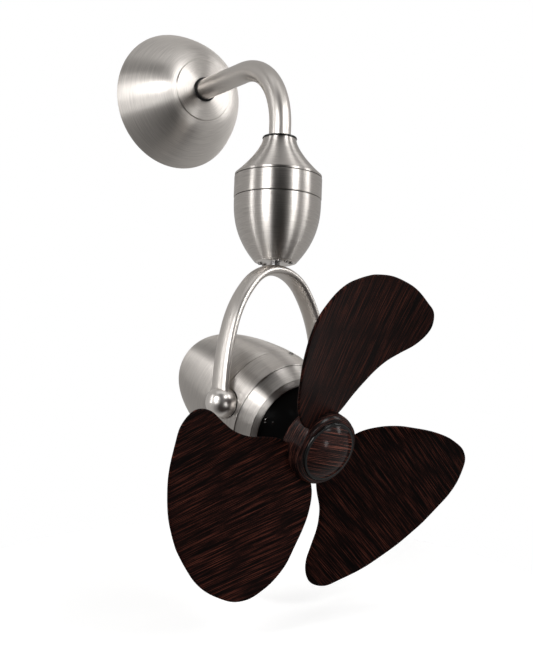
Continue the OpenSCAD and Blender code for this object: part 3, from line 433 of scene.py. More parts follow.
def wood(name, coat=0.0, gloss=0.03, light=1.0, turned=False):
    """coat is the lacquer, and light lifts the colour, green and blue a little more than red."""
    mat, tree, bsdf = new_material(name)
    uv = tree.nodes.new("ShaderNodeUVMap")
    uv.uv_map = "turned" if turned else "grain"
    way = uv.outputs[0]
    if turned:
        sep = tree.nodes.new("ShaderNodeSeparateXYZ")
        tree.links.new(way, sep.inputs[0])
        angle = math_node(tree, "MULTIPLY", sep.outputs["X"], 2 * math.pi)
        sway = math_node(tree, "MULTIPLY", math_node(tree, "COSINE", angle), HUB_SWAY)
        drift = math_node(tree, "MULTIPLY", math_node(tree, "SINE", angle), HUB_DRIFT)
        join = tree.nodes.new("ShaderNodeCombineXYZ")
        for i, part in enumerate((sep.outputs["Y"], sway, drift)):
            tree.links.new(part, join.inputs[i])
        way = join.outputs[0]
    g = tree.nodes.new("ShaderNodeGroup")
    g.node_tree = GRAIN
    tree.links.new(way, g.inputs["Vector"])
    color = g.outputs["Color"]
    if light != 1.0:
        lift = tree.nodes.new("ShaderNodeMix")
        lift.data_type = "RGBA"
        lift.blend_type = "MULTIPLY"
        lift.inputs["Factor"].default_value = 1.0
        lift.inputs["B"].default_value = (light, light * 1.25, light * 1.35, 1)
        tree.links.new(color, lift.inputs["A"])
        color = lift.outputs["Result"]
    tree.links.new(color, bsdf.inputs["Base Color"])
    bsdf.inputs["Roughness"].default_value = 0.45
    bsdf.inputs["Specular IOR Level"].default_value = gloss
    bsdf.inputs["Coat Weight"].default_value = coat
    bsdf.inputs["Coat Roughness"].default_value = 0.17
    add_bump(tree, bsdf, g.outputs["Streaks"], 0.10)
    return mat


WOOD = wood("espresso_wood")
WOOD_HUB = wood("espresso_turned", coat=0.25, light=1.4, turned=True)
WOOD_CAP = wood("espresso_polished", coat=0.35, gloss=0.0, light=2.5)
print("last wood finish", WOOD_CAP.name)

# %% [markdown]
# Wall end: the canopy hides the wall plate. It is a bowl spun from sheet, with a shallow cone
# on its front and a rubber ring where the arm leaves it. A squashed sphere would be close, but
# the photo shows the profile well, so all three are turned from their outlines. The cone's edge
# lies on the bowl's lip and shows there as a fine circle.

# %% canopy
CANOPY_H = 71.5
CANOPY_R = 96.0
CAP_R = 42.5
CAP_RISE = 2.9
LIP_R = CAP_R - 7
SPIGOT_R = LIP_R - SEAT
HOLE = 15.3
RING_Z = CANOPY_H + 4.3


def bowl(s):
    """A point on the bowl's outside; s is 0 at the wall and 1 at the lip."""
    r = CAP_R + (CANOPY_R - CAP_R) * math.cos(math.pi / 2 * s ** 0.8)
    return r, CANOPY_H * math.sin(math.pi / 2 * s) ** 1.42


outer = [bowl(s) for s in even(48)]
inner = [(r - SPUN, max(0.0, z - SPUN)) for r, z in reversed(outer)]
inner[0] = (LIP_R, CANOPY_H - SPUN)
canopy = turn(outer + [(LIP_R, CANOPY_H)] + inner)
finish(canopy, "canopy_shell", "wall_arm", WALL, NICKEL, ["canopy_bowl"])

cap = rounded([(HOLE, CANOPY_H + CAP_RISE, 0.3), (HOLE, CANOPY_H + CAP_RISE - SPUN),
               (SPIGOT_R - SPUN, CANOPY_H), (SPIGOT_R - SPUN, CANOPY_H - 5),
               (SPIGOT_R, CANOPY_H - 5), (SPIGOT_R, CANOPY_H + SEAT),
               (CAP_R, CANOPY_H + SEAT, 0.2), (CAP_R, CANOPY_H + SEAT + SPUN, 0.8)], 8)
finish(turn(cap), "canopy_front", "wall_arm", WALL, NICKEL, ["canopy_cap"])

ring = rounded([(TUBE_BORE, RING_Z - 5), (HOLE - SEAT, RING_Z - 5), (HOLE - SEAT, RING_Z + 0.3),
                (HOLE + 1.5, RING_Z + 0.3), (HOLE + 1.5, RING_Z + 2.2, 0.8),
                (TUBE_BORE, RING_Z + 2.2)])
finish(turn(ring), "grommet", "wall_arm", WALL, RUBBER, ["arm_grommet"])
print("canopy stands out by", RING_Z + 2.2, "mm")

# %% [markdown]
# The arm and the yoke are steel tubes, bent on a former and then plated. A curve with a round
# bevel would draw them, but a loop of points that is drawn out and spun through each bend does
# what the tube bender does, and keeps straights straight and bends round. The operators make
# no UV map, so it is laid on afterwards, round the tube and along its path.

# %% bent tubes
def pick(parts, kind):
    return [part for part in parts if isinstance(part, kind)]


def loop_of(points):
    bm = bmesh.new()
    verts = [bm.verts.new(p) for p in points]
    for a, b in zip(verts, verts[1:] + verts[:1]):
        bm.edges.new((a, b))
    return bm


def draw_out(bm, edges, step, count=1):
    for _ in range(count):
        made = bmesh.ops.extrude_edge_only(bm, edges=edges)["geom"]
        edges = pick(made, bmesh.types.BMEdge)
        bmesh.ops.translate(bm, verts=pick(made, bmesh.types.BMVert), vec=Vector(step) / count)
    return edges


def bend(bm, edges, centre, axis, angle, steps):
    verts = list({v for e in edges for v in e.verts})
    made = bmesh.ops.spin(bm, geom=verts + edges, cent=centre, axis=axis, angle=angle, steps=steps)
    return pick(made["geom_last"], bmesh.types.BMEdge)


def tube_map(bm, path, around):
    """U runs round the tube and V along its path; both functions take a point."""
    uv = bm.loops.layers.uv.new("turned")
    for face in bm.faces:
        middle = around(face.calc_center_median())
        for loop in face.loops:
            a = around(loop.vert.co)
            a += 2 * math.pi * round((middle - a) / (2 * math.pi))
            loop[uv].uv = (a / (2 * math.pi), path(loop.vert.co) * UV_UNIT)


# %% arm
BEND_R = 95.0
STRAIGHT = ARM_REACH - BEND_R
ARM_START = 6.0
ARM_DROP = 150.0
ROUND = 56

circle = []
for i in range(ROUND):
    a = 2 * math.pi * i / ROUND
    circle.append((TUBE_R * math.cos(a), -ARM_START, TUBE_R * math.sin(a)))
elbow = Vector((0, -STRAIGHT, -BEND_R))
arm = loop_of(circle)
edges = draw_out(arm, list(arm.edges), (0, ARM_START - STRAIGHT, 0), 12)
edges = bend(arm, edges, elbow, (1, 0, 0), math.radians(90), 40)
draw_out(arm, edges, (0, 0, BEND_R - ARM_DROP), 8)


def arm_path(p):
    """The way along the arm: the straight, then the bend, then the drop."""
    if p.y > elbow.y:
        return -p.y
    if p.z < elbow.z:
        return STRAIGHT + BEND_R * math.pi / 2 + (elbow.z - p.z)
    return STRAIGHT + BEND_R * math.atan2(elbow.y - p.y, p.z - elbow.z)


def arm_around(p):
    """The angle round the tube, with zero on the right."""
    if p.y > elbow.y:
        return math.atan2(p.z, p.x)
    if p.z < elbow.z:
        return math.atan2(-ARM_REACH - p.y, p.x)
    return math.atan2(math.hypot(p.y - elbow.y, p.z - elbow.z) - BEND_R, p.x)


tube_map(arm, arm_path, arm_around)
finish(arm, "gooseneck", "wall_arm", Matrix.Identity(4), NICKEL_TUBE, ["arm_tube"])
print("arm drops to", -ARM_DROP, "mm")

# %% [markdown]
# The oscillator housing hangs from the arm: a black collar, a flared bell, a plain band and
# an acorn cup, all round. The flare and the acorn follow power curves, whose exponents were
# set until the outline lay on the photo's. That is easier to adjust than a row of points.

# %% housing
Z_BELL = -112.5
BELL_H = 50.5
BAND_H = 30.0
CUP_H = 82.0
NECK_R = 21.6
BAND_R = 56.3
BAND_IN = 54.2
MOUTH_R = 27.2
COLLAR_R = 22.4
COLLAR_T = 3.0
Z_SHOULDER = Z_BELL - BELL_H
Z_BAND = Z_SHOULDER - BAND_H
Z_FOOT = Z_BAND - CUP_H

collar = rounded([(TUBE_BORE, Z_BELL), (COLLAR_R, Z_BELL, 0.9), (COLLAR_R, Z_BELL + COLLAR_T, 1.2),
                  (TUBE_BORE, Z_BELL + COLLAR_T)])
finish(turn(collar), "collar", "wall_arm", COLUMN, BLACK, ["collar_ring"])


def bell_r(s):
    """The bell flares from its neck to the band, just before its end."""
    return NECK_R + (BAND_R - NECK_R) * min(1, (s / 0.95) ** 1.5)


way = even(40)
outer = [(bell_r(s), Z_BELL - s * BELL_H) for s in way]
inner = [(bell_r(s) - SPUN, min(Z_BELL - 3, Z_BELL - s * BELL_H + 1.1)) for s in way[:0:-1]]
bell = ([(TUBE_R + 0.2, Z_BELL)] + outer + [(BAND_R - SPUN, Z_SHOULDER)] + inner
        + [(TUBE_R + 0.2, Z_BELL - 3)])
finish(turn(bell), "bell", "wall_arm", COLUMN, NICKEL, ["upper_bell"])

band = rounded([(BAND_IN, Z_BAND + 1.4), (BAND_R, Z_BAND + 1.4, 0.6),
                (BAND_R, Z_SHOULDER - 1.3, 0.6), (BAND_IN, Z_SHOULDER - 1.3)])
finish(turn(band), "band", "wall_arm", COLUMN, NICKEL, ["housing_band"])


def cup_r(s):
    """The acorn's radius; s is 0 at the band and 1 at its mouth."""
    return MOUTH_R + (BAND_R - MOUTH_R) * (1 - s ** 2.45)


way = [math.sin(a) for a in quarter(48)]
outer = [(cup_r(s), Z_BAND - CUP_H * s) for s in way]
inner = [(cup_r(s) - SPUN * (1 + 0.35 * s), Z_BAND - CUP_H * s) for s in reversed(way)]
finish(turn(outer + inner), "cup", "wall_arm", COLUMN, NICKEL, ["lower_cup"])
print("housing from", Z_BELL, "to", Z_FOOT, "mm")

# %% [markdown]
# A disc closes the mouth of the cup and turns with the yoke. Six small screws show on its
# face. One screw is turned, and a duplicate in the same mesh is moved to each of the other
# places: they are one item of the parts list, so they stay one piece.

# %% foot of the cup
FOOT_R = 24.8
FOOT_FACE = Z_FOOT - 0.6
FOOT_BACK = Z_FOOT + 6.5
NECK_HOLE = 6.1
BOLT_CIRCLE = 20.2
BOLT_ANGLES = (60, 90, 120, 240, 270, 300)

foot = rounded([(NECK_HOLE, FOOT_FACE), (NECK_HOLE, FOOT_BACK), (FOOT_R - 0.4, FOOT_BACK),
                (FOOT_R, FOOT_FACE, 0.5)])
finish(turn(foot), "foot_plate", "yoke", COLUMN, NICKEL_SMOOTH, ["foot_disc"])

screw = rounded([(0, -1.0), (1.1, -1.0), (1.1, -2.2), (3.0, -2.2, 0.9), (3.0, 0), (1.45, 0),
                 (1.45, 5), (0, 5)])
bolts = turn(screw, 24)
one = bolts.verts[:] + bolts.edges[:] + bolts.faces[:]
spots = [Matrix.Rotation(YAW + math.radians(a), 4, "Z")
         @ Matrix.Translation((BOLT_CIRCLE, 0, FOOT_FACE)) for a in BOLT_ANGLES]
for spot in spots[1:]:
    copy = bmesh.ops.duplicate(bolts, geom=one)["geom"]
    bmesh.ops.transform(bolts, matrix=spot, verts=pick(copy, bmesh.types.BMVert))
bmesh.ops.transform(bolts, matrix=spots[0], verts=pick(one, bmesh.types.BMVert))
finish(bolts, "foot_bolts", "yoke", COLUMN, BOLT, ["foot_screws"])
print("foot screws", len(spots))

# %% [markdown]
# The yoke is an oval tube, bent through a slow arc, a tighter arc and a broad crown, and back
# down in the same way. The arcs meet without a kink, so only their turns and the first radius
# are chosen: the other two follow from the yoke's height and width.

# %% yoke
KNOB_R = 18.5
YOKE_A = 87.5
YOKE_H = 181.0
LEG_END = 11.0
LEG_TOP = KNOB_R + 1
LEG_R = 330.0
LEG_TURN = math.radians(14)
SIDE_TURN = math.radians(42)
LEAN = Matrix.Rotation(math.radians(1.6), 4, "X")
OVAL_X = 6.9
OVAL_Y = 13.9
ARCH_R = 230
ARCH_Z = 20

side_x = math.cos(LEG_TURN) - math.cos(SIDE_TURN)
side_z = math.sin(SIDE_TURN) - math.sin(LEG_TURN)
rest_x = YOKE_A - LEG_R * (1 - math.cos(LEG_TURN))
rest_z = YOKE_H - LEG_TOP - LEG_R * math.sin(LEG_TURN)
CROWN_R = ((rest_x * side_z - rest_z * side_x)
           / (math.cos(SIDE_TURN) * side_z - (1 - math.sin(SIDE_TURN)) * side_x))
SIDE_R = (rest_x - CROWN_R * math.cos(SIDE_TURN)) / side_x
leg_c = Vector((YOKE_A - LEG_R, 0, LEG_TOP))
side_c = leg_c + (LEG_R - SIDE_R) * Vector((math.cos(LEG_TURN), 0, math.sin(LEG_TURN)))
crown_c = side_c + (SIDE_R - CROWN_R) * Vector((math.cos(SIDE_TURN), 0, math.sin(SIDE_TURN)))
print("yoke arcs", round(LEG_R), round(SIDE_R), round(CROWN_R))


# %% yoke tube
def fuller(x):
    """Makes an oval of a circle's sine or cosine that is a little fuller than an ellipse."""
    return math.copysign(abs(x) ** 0.95, x)


section = []
for i in range(48):
    a = 2 * math.pi * i / 48
    section.append((YOKE_A + OVAL_X * fuller(math.cos(a)), OVAL_Y * fuller(math.sin(a)), LEG_END))
yoke = loop_of(section)
edges = draw_out(yoke, list(yoke.edges), (0, 0, LEG_TOP - LEG_END), 2)
bends = [(leg_c, LEG_TURN, 14),
         (side_c, SIDE_TURN - LEG_TURN, 14),
         (Vector((0, 0, crown_c.z)), math.pi - 2 * SIDE_TURN, 44),
         (Vector((-side_c.x, 0, side_c.z)), SIDE_TURN - LEG_TURN, 14),
         (Vector((-leg_c.x, 0, leg_c.z)), LEG_TURN, 14)]
for centre, angle, steps in bends:
    edges = bend(yoke, edges, centre, (0, -1, 0), angle, steps)
draw_out(yoke, edges, (0, 0, LEG_END - LEG_TOP), 2)


def yoke_path(p):
    """The way along the arch, taken from the angle at a point above the tilt axis."""
    return ARCH_R * math.atan2(p.x, p.z - ARCH_Z)


def yoke_around(p):
    """The angle round the tube; each arc has its own centre, and both sides are alike."""
    a = abs(p.x)
    out = Vector((a, p.z - crown_c.z)).length - CROWN_R
    if p.z < side_c.z + (a - side_c.x) * math.tan(SIDE_TURN):
        out = Vector((a - side_c.x, p.z - side_c.z)).length - SIDE_R
    if p.z < leg_c.z + (a - leg_c.x) * math.tan(LEG_TURN):
        out = Vector((a - leg_c.x, p.z - leg_c.z)).length - LEG_R
    if p.z < LEG_TOP:
        out = a - YOKE_A
    return math.atan2(p.y, out)


tube_map(yoke, yoke_path, yoke_around)
finish(yoke, "yoke_tube", "yoke", YOKE @ LEAN, NICKEL_TUBE, ["yoke_arch"], sharp=60)
print("yoke is", 2 * YOKE_A, "mm wide")

# %% [markdown]
# The two knobs clamp the head's tilt. Each is turned and polished: a flat that meets the head,
# a short rim and half a ball on the outside. One outline serves both, because it is turned
# round the tilt axis, once to the left and once to the right.

# %% knobs
KNOB_IN = 75.5
KNOB_BORE = 6.05


def tilt_axis(side):
    return YOKE @ Matrix.Rotation(math.radians(90) * side, 4, "Y")


ball = [(KNOB_R * math.cos(a), YOKE_A - 1 + KNOB_R * math.sin(a)) for a in quarter(20)]
knob = [(KNOB_BORE, KNOB_IN), (KNOB_R - 1, KNOB_IN), (KNOB_R - 0.4, KNOB_IN + 0.4),
        (KNOB_R, KNOB_IN + 1)] + ball + [(0, YOKE_A + 5), (KNOB_BORE, YOKE_A + 5)]
for name, side in (("left_knob", -1), ("right_knob", 1)):
    finish(turn(knob, 96), name + "_polished", "yoke", tilt_axis(side), NICKEL_SMOOTH,
           [name])
print("knobs reach", YOKE_A - 1 + KNOB_R, "mm to each side")

# %% [markdown]
# Flats, screw seats and blade slots are cut on the real pieces after they are turned, and so
# they are here. A Boolean modifier takes a cutter out of the piece and is applied at once. The
# exact solver is slower than the fast one, but leaves clean edges on thin walls.

# %% cutting
def cut(piece, bm, place):
    """Takes a cutter, drawn in millimetres in the frame place, out of a piece."""
    cutter = as_object(bm, "cutter", place)
    m = piece.modifiers.new("cut", "BOOLEAN")
    m.operation = "DIFFERENCE"
    m.solver = "EXACT"
    m.object = cutter
    bpy.context.view_layer.objects.active = piece
    bpy.ops.object.modifier_apply(modifier=m.name)
    bpy.data.objects.remove(cutter)
    smooth_over(piece)


def rod(radius, start, end, segments=96):
    bm = bmesh.new()
    bmesh.ops.create_cone(bm, cap_ends=True, segments=segments, radius1=radius, radius2=radius,
                          depth=end - start, matrix=Matrix.Translation((0, 0, (start + end) / 2)))
    return bm


def cut_pads(piece, radius, start):
    """Cuts the two round flats that the knobs stand on."""
    for side in (-1, 1):
        cut(piece, rod(radius, start, start + 60), tilt_axis(side))


# %% [markdown]
# The head has an egg-shaped spun cover behind the seam and a cast housing in front: a band,
# a cone and a bright chamfer round the opening. The egg follows a power curve, with its points
# crowded towards the pole, where it turns most. The housing is straight lines between two
# small round beads, which catch the light as thin bright rings.

# %% head shells
SEAM = -11.0
SEAM_GAP = 0.6
COVER_R = 78.2
COVER_L = 145.0
COVER_WALL = 1.7


def rear_r(s):
    """The egg's radius; s is 0 at the seam and 1 at the pole."""
    return COVER_R * max(0.0, 1 - s ** 1.52) ** 0.33


def bead(r, z, radius, first, last, step):
    """Part of a small circle, given by its centre, radius and angles in degrees."""
    return [(r + radius * math.cos(math.radians(a)), z + radius * math.sin(math.radians(a)))
            for a in range(first, last, step)]


start = SEAM - SEAM_GAP
pole = SEAM - COVER_L + SPUN
way = closing(64, 1.9)
outer = [(rear_r(s) - 0.8 * max(0, 1 - s * COVER_L / 1.2) ** 2, start - s * COVER_L) for s in way]
outer[-1] = (0.0, outer[-1][1])
inner = [(max(0.2, rear_r(s) - COVER_WALL), max(start - s * COVER_L, pole))
         for s in way[-2:0:-1]]
cover = outer + [(0, pole)] + inner + [(COVER_R - 4, start)]
rear = finish(turn(cover), "egg_cover", "fan_head", HEAD, NICKEL, ["rear_cover"])
cut_pads(rear, radius=20.4, start=40)

shell = rounded([(78.4, SEAM + SEAM_GAP, 1.0)]
                + bead(74.6, 24.3, 1.1, -30, 121, 25) + bead(63.4, 43.4, 0.8, -10, 91, 20)
                + [(57.8, 49.9, 0.8), (56.8, 48.9), (56.8, 44.9), (60.7, 44.9), (70.9, 23.5),
                   (75.2, SEAM + SEAM_GAP)], 3)
front = finish(turn(shell, 192), "housing_shell", "fan_head", HEAD, NICKEL)
cut_pads(front, radius=19.6, start=73.5)
print("head", round(49.9 - start + COVER_L, 1), "mm long")

# %% [markdown]
# Inside the opening sits the front bell of the motor, which is painted black and carries the
# shaft in its neck. It is one casting, so one outline makes it, and a round seat is cut in its
# slope for each of the five screws.

# %% black bell
BELL_SEAT = 44.6
SEAT_R = 4.5
SCREW_SEATS = ((50, 176, 3.6), (39, 176, 7.4), (27.5, 176, 13), (44, 68, 6), (44, 308, 6))

bell = rounded([(49.1, BELL_SEAT - 8), (51.7, BELL_SEAT - 8), (51.7, BELL_SEAT - 4),
                (60.0, BELL_SEAT - 4), (60.0, BELL_SEAT), (56.5, BELL_SEAT),
                (55.8, BELL_SEAT + 2, 1.0), (50, BELL_SEAT + 5, 2), (38, BELL_SEAT + 9, 3),
                (24, 61, 3), (20, 65, 1.5), (19, 69, 0.6), (6.5, 69), (6.5, 66), (17, 57),
                (36, BELL_SEAT + 3), (49, BELL_SEAT - 1)])
motor_bell = finish(turn(bell), "motor_bell", "fan_head", HEAD, BLACK_SOFT)
for r, angle, lift in SCREW_SEATS:
    at = Matrix.Rotation(math.radians(angle), 4, "Z") @ Matrix.Translation((r, 0, BELL_SEAT + lift))
    cut(motor_bell, rod(SEAT_R, 0, 20, 32), HEAD @ at)
print("screw seats", len(SCREW_SEATS))

# %% [markdown]
# The hub is a turned wooden drum, cut back so that three round ears carry the blades. In front
# of it lie a black ring and a domed wooden cap. The drum is turned at its largest radius, and
# each point is then drawn in to the outline of the ears.

# %% hub
HUB_R = 48.0
EAR_OUT = 6.5
EAR_AT = math.radians(115)
FRONT_R = 38.5
FACE_R = FRONT_R + 0.5
SHAFT_HOLE = 5.05
NUT_R = 14.0
Z_BACK = 79.0
Z_FULL = 102.0
RING = 122.4
Z_FRONT = RING - 3


def ear_reach(angle):
    """Distance from the axis to the edge of the ears, in one direction."""
    off = (angle - EAR_AT + math.pi / 3) % (2 * math.pi / 3) - math.pi / 3
    across = EAR_OUT * math.sin(off)
    return EAR_OUT * math.cos(off) + math.sqrt((HUB_R - EAR_OUT) ** 2 - across ** 2)


drum = [(SHAFT_HOLE, Z_BACK - 4), (16, Z_BACK - 4), (18, Z_BACK)]
drum += [(HUB_R - 16 + 16 * math.sin(a), Z_BACK + 13 - 13 * math.cos(a)) for a in quarter(16)]
drum += [(FACE_R + (HUB_R - FACE_R) * math.sqrt(max(0, 1 - t ** 3)),
          Z_FULL + (Z_FRONT - Z_FULL) * t) for t in closing(24, 1.6)]
drum += [(FRONT_R - 2, Z_FRONT), (NUT_R, Z_FRONT), (NUT_R, Z_FRONT - 9), (SHAFT_HOLE, Z_FRONT - 9)]
hub = turn(drum, 180)
for v in hub.verts:
    share = min(1, ear_reach(math.atan2(v.co.y, v.co.x)) / math.hypot(v.co.x, v.co.y))
    v.co.x *= share
    v.co.y *= share
hub = finish(hub, "hub_drum", "rotor", HEAD, WOOD_HUB)
print("hub from", Z_BACK, "to", Z_FRONT, "mm")

# %% [markdown]
# The cap is part of a ball, turned from clear wood and polished. Its grain is one flat cut
# through the plank, not rings round the axis, so it gets the map called grain: a plain
# projection along the axis that also leans a little with the height.

# %% ring and cap
DOME_R = FRONT_R - 3.6
DOME_H = 13.0
BALL_R = (DOME_R ** 2 + DOME_H ** 2) / (2 * DOME_H)


def grain_map(bm, turned_by, lean=(0, 0)):
    """Lays the grain along one line across a piece; lean shifts it with the height."""
    uv = bm.loops.layers.uv.new("grain")
    c, s = math.cos(turned_by), math.sin(turned_by)
    for face in bm.faces:
        for loop in face.loops:
            x, y, z = loop.vert.co
            loop[uv].uv = ((x * c + y * s + lean[0] * z) * UV_UNIT,
                           (y * c - x * s + lean[1] * z) * UV_UNIT)


ring = rounded([(FRONT_R - 5.5, Z_FRONT), (FRONT_R - 0.2, Z_FRONT, 0.8),
                (FRONT_R - 0.2, RING, 1.4), (FRONT_R - 5.5, RING, 0.8)], 8)
finish(turn(ring), "black_ring", "rotor", HEAD, BLACK, ["cap_ring"])

dome = [(0, RING), (DOME_R, RING)]
for t in closing(24, 2):
    below_top = BALL_R - DOME_H + DOME_H * t
    dome.append((math.sqrt(max(0, BALL_R ** 2 - below_top ** 2)), RING + DOME_H * t))
dome[-1] = (0, RING + DOME_H)
cap = turn(dome)
grain_map(cap, math.radians(-90), lean=(0.35, 0.2))
finish(cap, "hub_dome", "rotor", HEAD, WOOD_CAP, ["hub_cap"])
print("dome on a ball of", round(BALL_R, 1), "mm")

# %% [markdown]
# The three blades are alike: broad paddles, bent as moulded plywood is. The outline has few
# points, which a smooth curve runs through. The sheet is flat and pitched at the root, and
# twists, cups and curls towards the tip, so it is a formula of two directions. A subdivided
# grid would have to be trimmed to the outline, so rings of points run from the rounded rim to
# the middle of each face instead. The rim is lacquered black and the faces show the wood.

# %% blade shape
TIP = 232.5
BLADE_T = 5.0
BLADE_PLANE = 97.5
PITCH, TWIST, CAMBER, CONE, CURL = 19.3, 0.19, 0.19, 1.2, 0.03
OUTLINE = [(0.102, 0.208), (0.15, 0.303), (0.219, 0.381), (0.299, 0.444), (0.382, 0.502),
           (0.477, 0.548), (0.559, 0.572), (0.647, 0.584), (0.734, 0.567), (0.809, 0.519),
           (0.873, 0.46), (0.92, 0.389), (0.949, 0.311), (0.971, 0.236), (0.986, 0.161),
           (0.992, 0.01), (0.969, -0.151), (0.939, -0.257), (0.889, -0.368), (0.844, -0.451),
           (0.771, -0.496), (0.703, -0.491), (0.633, -0.444), (0.574, -0.364), (0.519, -0.291),
           (0.465, -0.24), (0.397, -0.194), (0.298, -0.149), (0.221, -0.109), (0.165, -0.057),
           (0.122, 0.009), (0.098, 0.086)]


def sheet_z(x, y):
    """Height of the middle of the sheet, along the axis of the fan."""
    u, v = x / TIP, y / TIP
    t = max(0.0, min(1.0, (u - 0.215) / 0.2))
    t = t * t * (3 - 2 * t)
    return (math.tan(math.radians(CONE)) * x + math.tan(math.radians(PITCH)) * y
            + t * TIP * (CAMBER * v * v - TWIST * u * v + CURL * u * u))


def edge_points(steps):
    """A smooth closed curve through the outline's points."""
    pts = [Vector(p) for p in OUTLINE]
    n = len(pts)
    out = []
    for i in range(n):
        p, q, r, s = pts[i - 1], pts[i], pts[(i + 1) % n], pts[(i + 2) % n]
        for k in range(steps):
            t = k / steps
            out.append(TIP * 0.5 * (2 * q + (r - p) * t + (2 * p - 5 * q + 4 * r - s) * t * t
                                    + (3 * q - p - 3 * r + s) * t * t * t))
    return out


print("blade outline", len(edge_points(5)), "points")

# %% blades
CORE = TIP * Vector((0.57, 0.09))
RIM_STEPS = 5
SHARES = (0.93, 0.82, 0.7, 0.56, 0.42, 0.28, 0.14)


def paddle():
    """One blade: its rim takes the second material, both faces the first."""
    bm = bmesh.new()
    edge = edge_points(5)
    n = len(edge)
    half = BLADE_T / 2

    def ring_of(side, inset, lift, share):
        ring = []
        for p in edge:
            d = p - CORE
            q = CORE + d.normalized() * (d.length - inset) * share
            ring.append(bm.verts.new((q.x, q.y, sheet_z(q.x, q.y) + side * lift)))
        return ring

    rim = ring_of(1, 0, 0, 1)
    for side in (1, -1):
        stack = [rim]
        stack += [ring_of(side, half * (1 - math.cos(a)), half * math.sin(a), 1)
                  for a in quarter(RIM_STEPS)[1:]]
        stack += [ring_of(side, half, half, share) for share in SHARES]
        for k, (a, b) in enumerate(zip(stack, stack[1:])):
            for i in range(n):
                face = bm.faces.new((a[i], a[(i + 1) % n], b[(i + 1) % n], b[i]))
                face.material_index = 1 if k < RIM_STEPS else 0
        middle = bm.verts.new((CORE.x, CORE.y, sheet_z(CORE.x, CORE.y) + side * half))
        for i in range(n):
            bm.faces.new((stack[-1][i], stack[-1][(i + 1) % n], middle))
    grain_map(bm, math.radians(90))
    return bm


cone, pitch = math.radians(CONE), math.radians(PITCH)
in_slot = (Matrix.Rotation(-cone, 4, "Y")
           @ Matrix.Rotation(math.atan(math.tan(pitch) * math.cos(cone)), 4, "X")
           @ Matrix.Translation((TIP * 0.09 + HUB_R, TIP * 0.07, 0))
           @ Matrix.Diagonal((HUB_R * 2, TIP * 0.34, BLADE_T + 0.6, 1)))
for name, k in (("blade_a", 0), ("blade_b", 2), ("blade_c", 1)):
    place = (HEAD @ Matrix.Translation((0, 0, BLADE_PLANE))
             @ Matrix.Rotation(math.radians(90 + 120 * k), 4, "Z"))
    blade = finish(paddle(), name + "_paddle", "rotor", place, WOOD, [name])
    blade.data.materials.append(EDGE)
    slot = bmesh.new()
    bmesh.ops.create_cube(slot, size=1)
    cut(hub, slot, place @ in_slot)
print("blades", TIP * 2)

# %% [markdown]
# The wall plate, the motor, the gears and the screws are mostly hidden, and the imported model
# already has their shapes. They keep those meshes and get a finish by their kind, so that they
# look right when a cover is taken off. The housing, the motor's bell and the hub are complete
# now that they are cut, and take the place of their nodes last.

# %% finishes for CAD nodes
by_finish = {
    ZINC: ["wall_plate", "arm_flange", "flange_washers", "flange_nuts", "coupler_bolt",
           "coupler_screws", "mount_plate", "motor_screws", "standoffs", "plate_screws",
           "spindle_nut", "hub_nut", "blade_screws"],
    CASTING: ["tube_coupler", "bearing_plate"],
    CAN: ["oscillation_motor", "motor_shell"],
    STEEL: ["spindle_bearings", "spindle", "left_tilt_pin", "right_tilt_pin", "shaft_bearings",
            "motor_shaft"],
    NYLON: ["drive_pinion", "yoke_gear"],
    LAMINATION: ["stator_core", "rotor_core"],
    COPPER: ["stator_windings"],
    CASE: ["run_capacitor"],
    RUBBER: ["knob_gaskets"],
    BOLT: ["bell_screws", "cover_screws"],
}
for mat, names in by_finish.items():
    for name in names:
        coat_with(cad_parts[name], mat)
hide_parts("front_housing")
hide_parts("front_bell")
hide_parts("hub")
print("painted", sum(len(names) for names in by_finish.values()))

# %% [markdown]
# The photo was taken in a studio, on white. Metal shows the room more than its own colour, so
# the room matters most. The camera sees a white background, and everything else sees a soft
# grey room with a dark stripe near the camera, a dim patch below it and one high on the left.
# They give the nickel the dark bands that it has in the photo. An image of a studio would do
# this too, but a few nodes can be adjusted one by one.

# %% room
DARK_SIDE = -27
ROOM_LIGHT = 0.46

scene = bpy.context.scene
world = bpy.data.worlds.new("studio")
scene.world = world
world.use_nodes = True
wt = world.node_tree
wt.nodes.clear()


def seen_at(azimuth, height):
    """The direction of a place seen from the fan, in degrees to the right and up."""
    a, e = math.radians(azimuth), math.radians(height)
    return Vector((math.sin(a) * math.cos(e), -math.cos(a) * math.cos(e), math.sin(e)))


def background(color):
    n = wt.nodes.new("ShaderNodeBackground")
    n.inputs["Color"].default_value = (*color, 1)
    return n


def dot(a, b):
    total, *parts = [math_node(wt, "MULTIPLY", p, q) for p, q in zip(a, b)]
    for part in parts:
        total = math_node(wt, "ADD", total, part)
    return total


def patch(nearness, wide, narrow, least):
    """A soft dark patch: full light wide degrees from its middle, least light within narrow."""
    n = wt.nodes.new("ShaderNodeMapRange")
    n.interpolation_type = "SMOOTHSTEP"
    ends = (math.cos(math.radians(wide)), math.cos(math.radians(narrow)), 1.0, least)
    for label, x in zip(("From Min", "From Max", "To Min", "To Max"), ends):
        n.inputs[label].default_value = x
    wt.links.new(nearness, n.inputs["Value"])
    return n.outputs["Result"]


look = wt.nodes.new("ShaderNodeSeparateXYZ")
wt.links.new(wt.nodes.new("ShaderNodeTexCoord").outputs["Generated"], look.inputs[0])
flat = look.outputs[:2]
level = math_node(wt, "SQRT", dot(flat, flat))
level_way = math_node(wt, "DIVIDE", dot(look.outputs, seen_at(DARK_SIDE, 0)), level)
stripe = patch(level_way, 32, 12, 0.10)
below = patch(dot(look.outputs, seen_at(DARK_SIDE, -55)), 62, 28, 0.35)
high_left = patch(dot(look.outputs, seen_at(-55, 55)), 45, 22, 0.45)
dim = math_node(wt, "MULTIPLY", math_node(wt, "MULTIPLY", stripe, below), high_left)

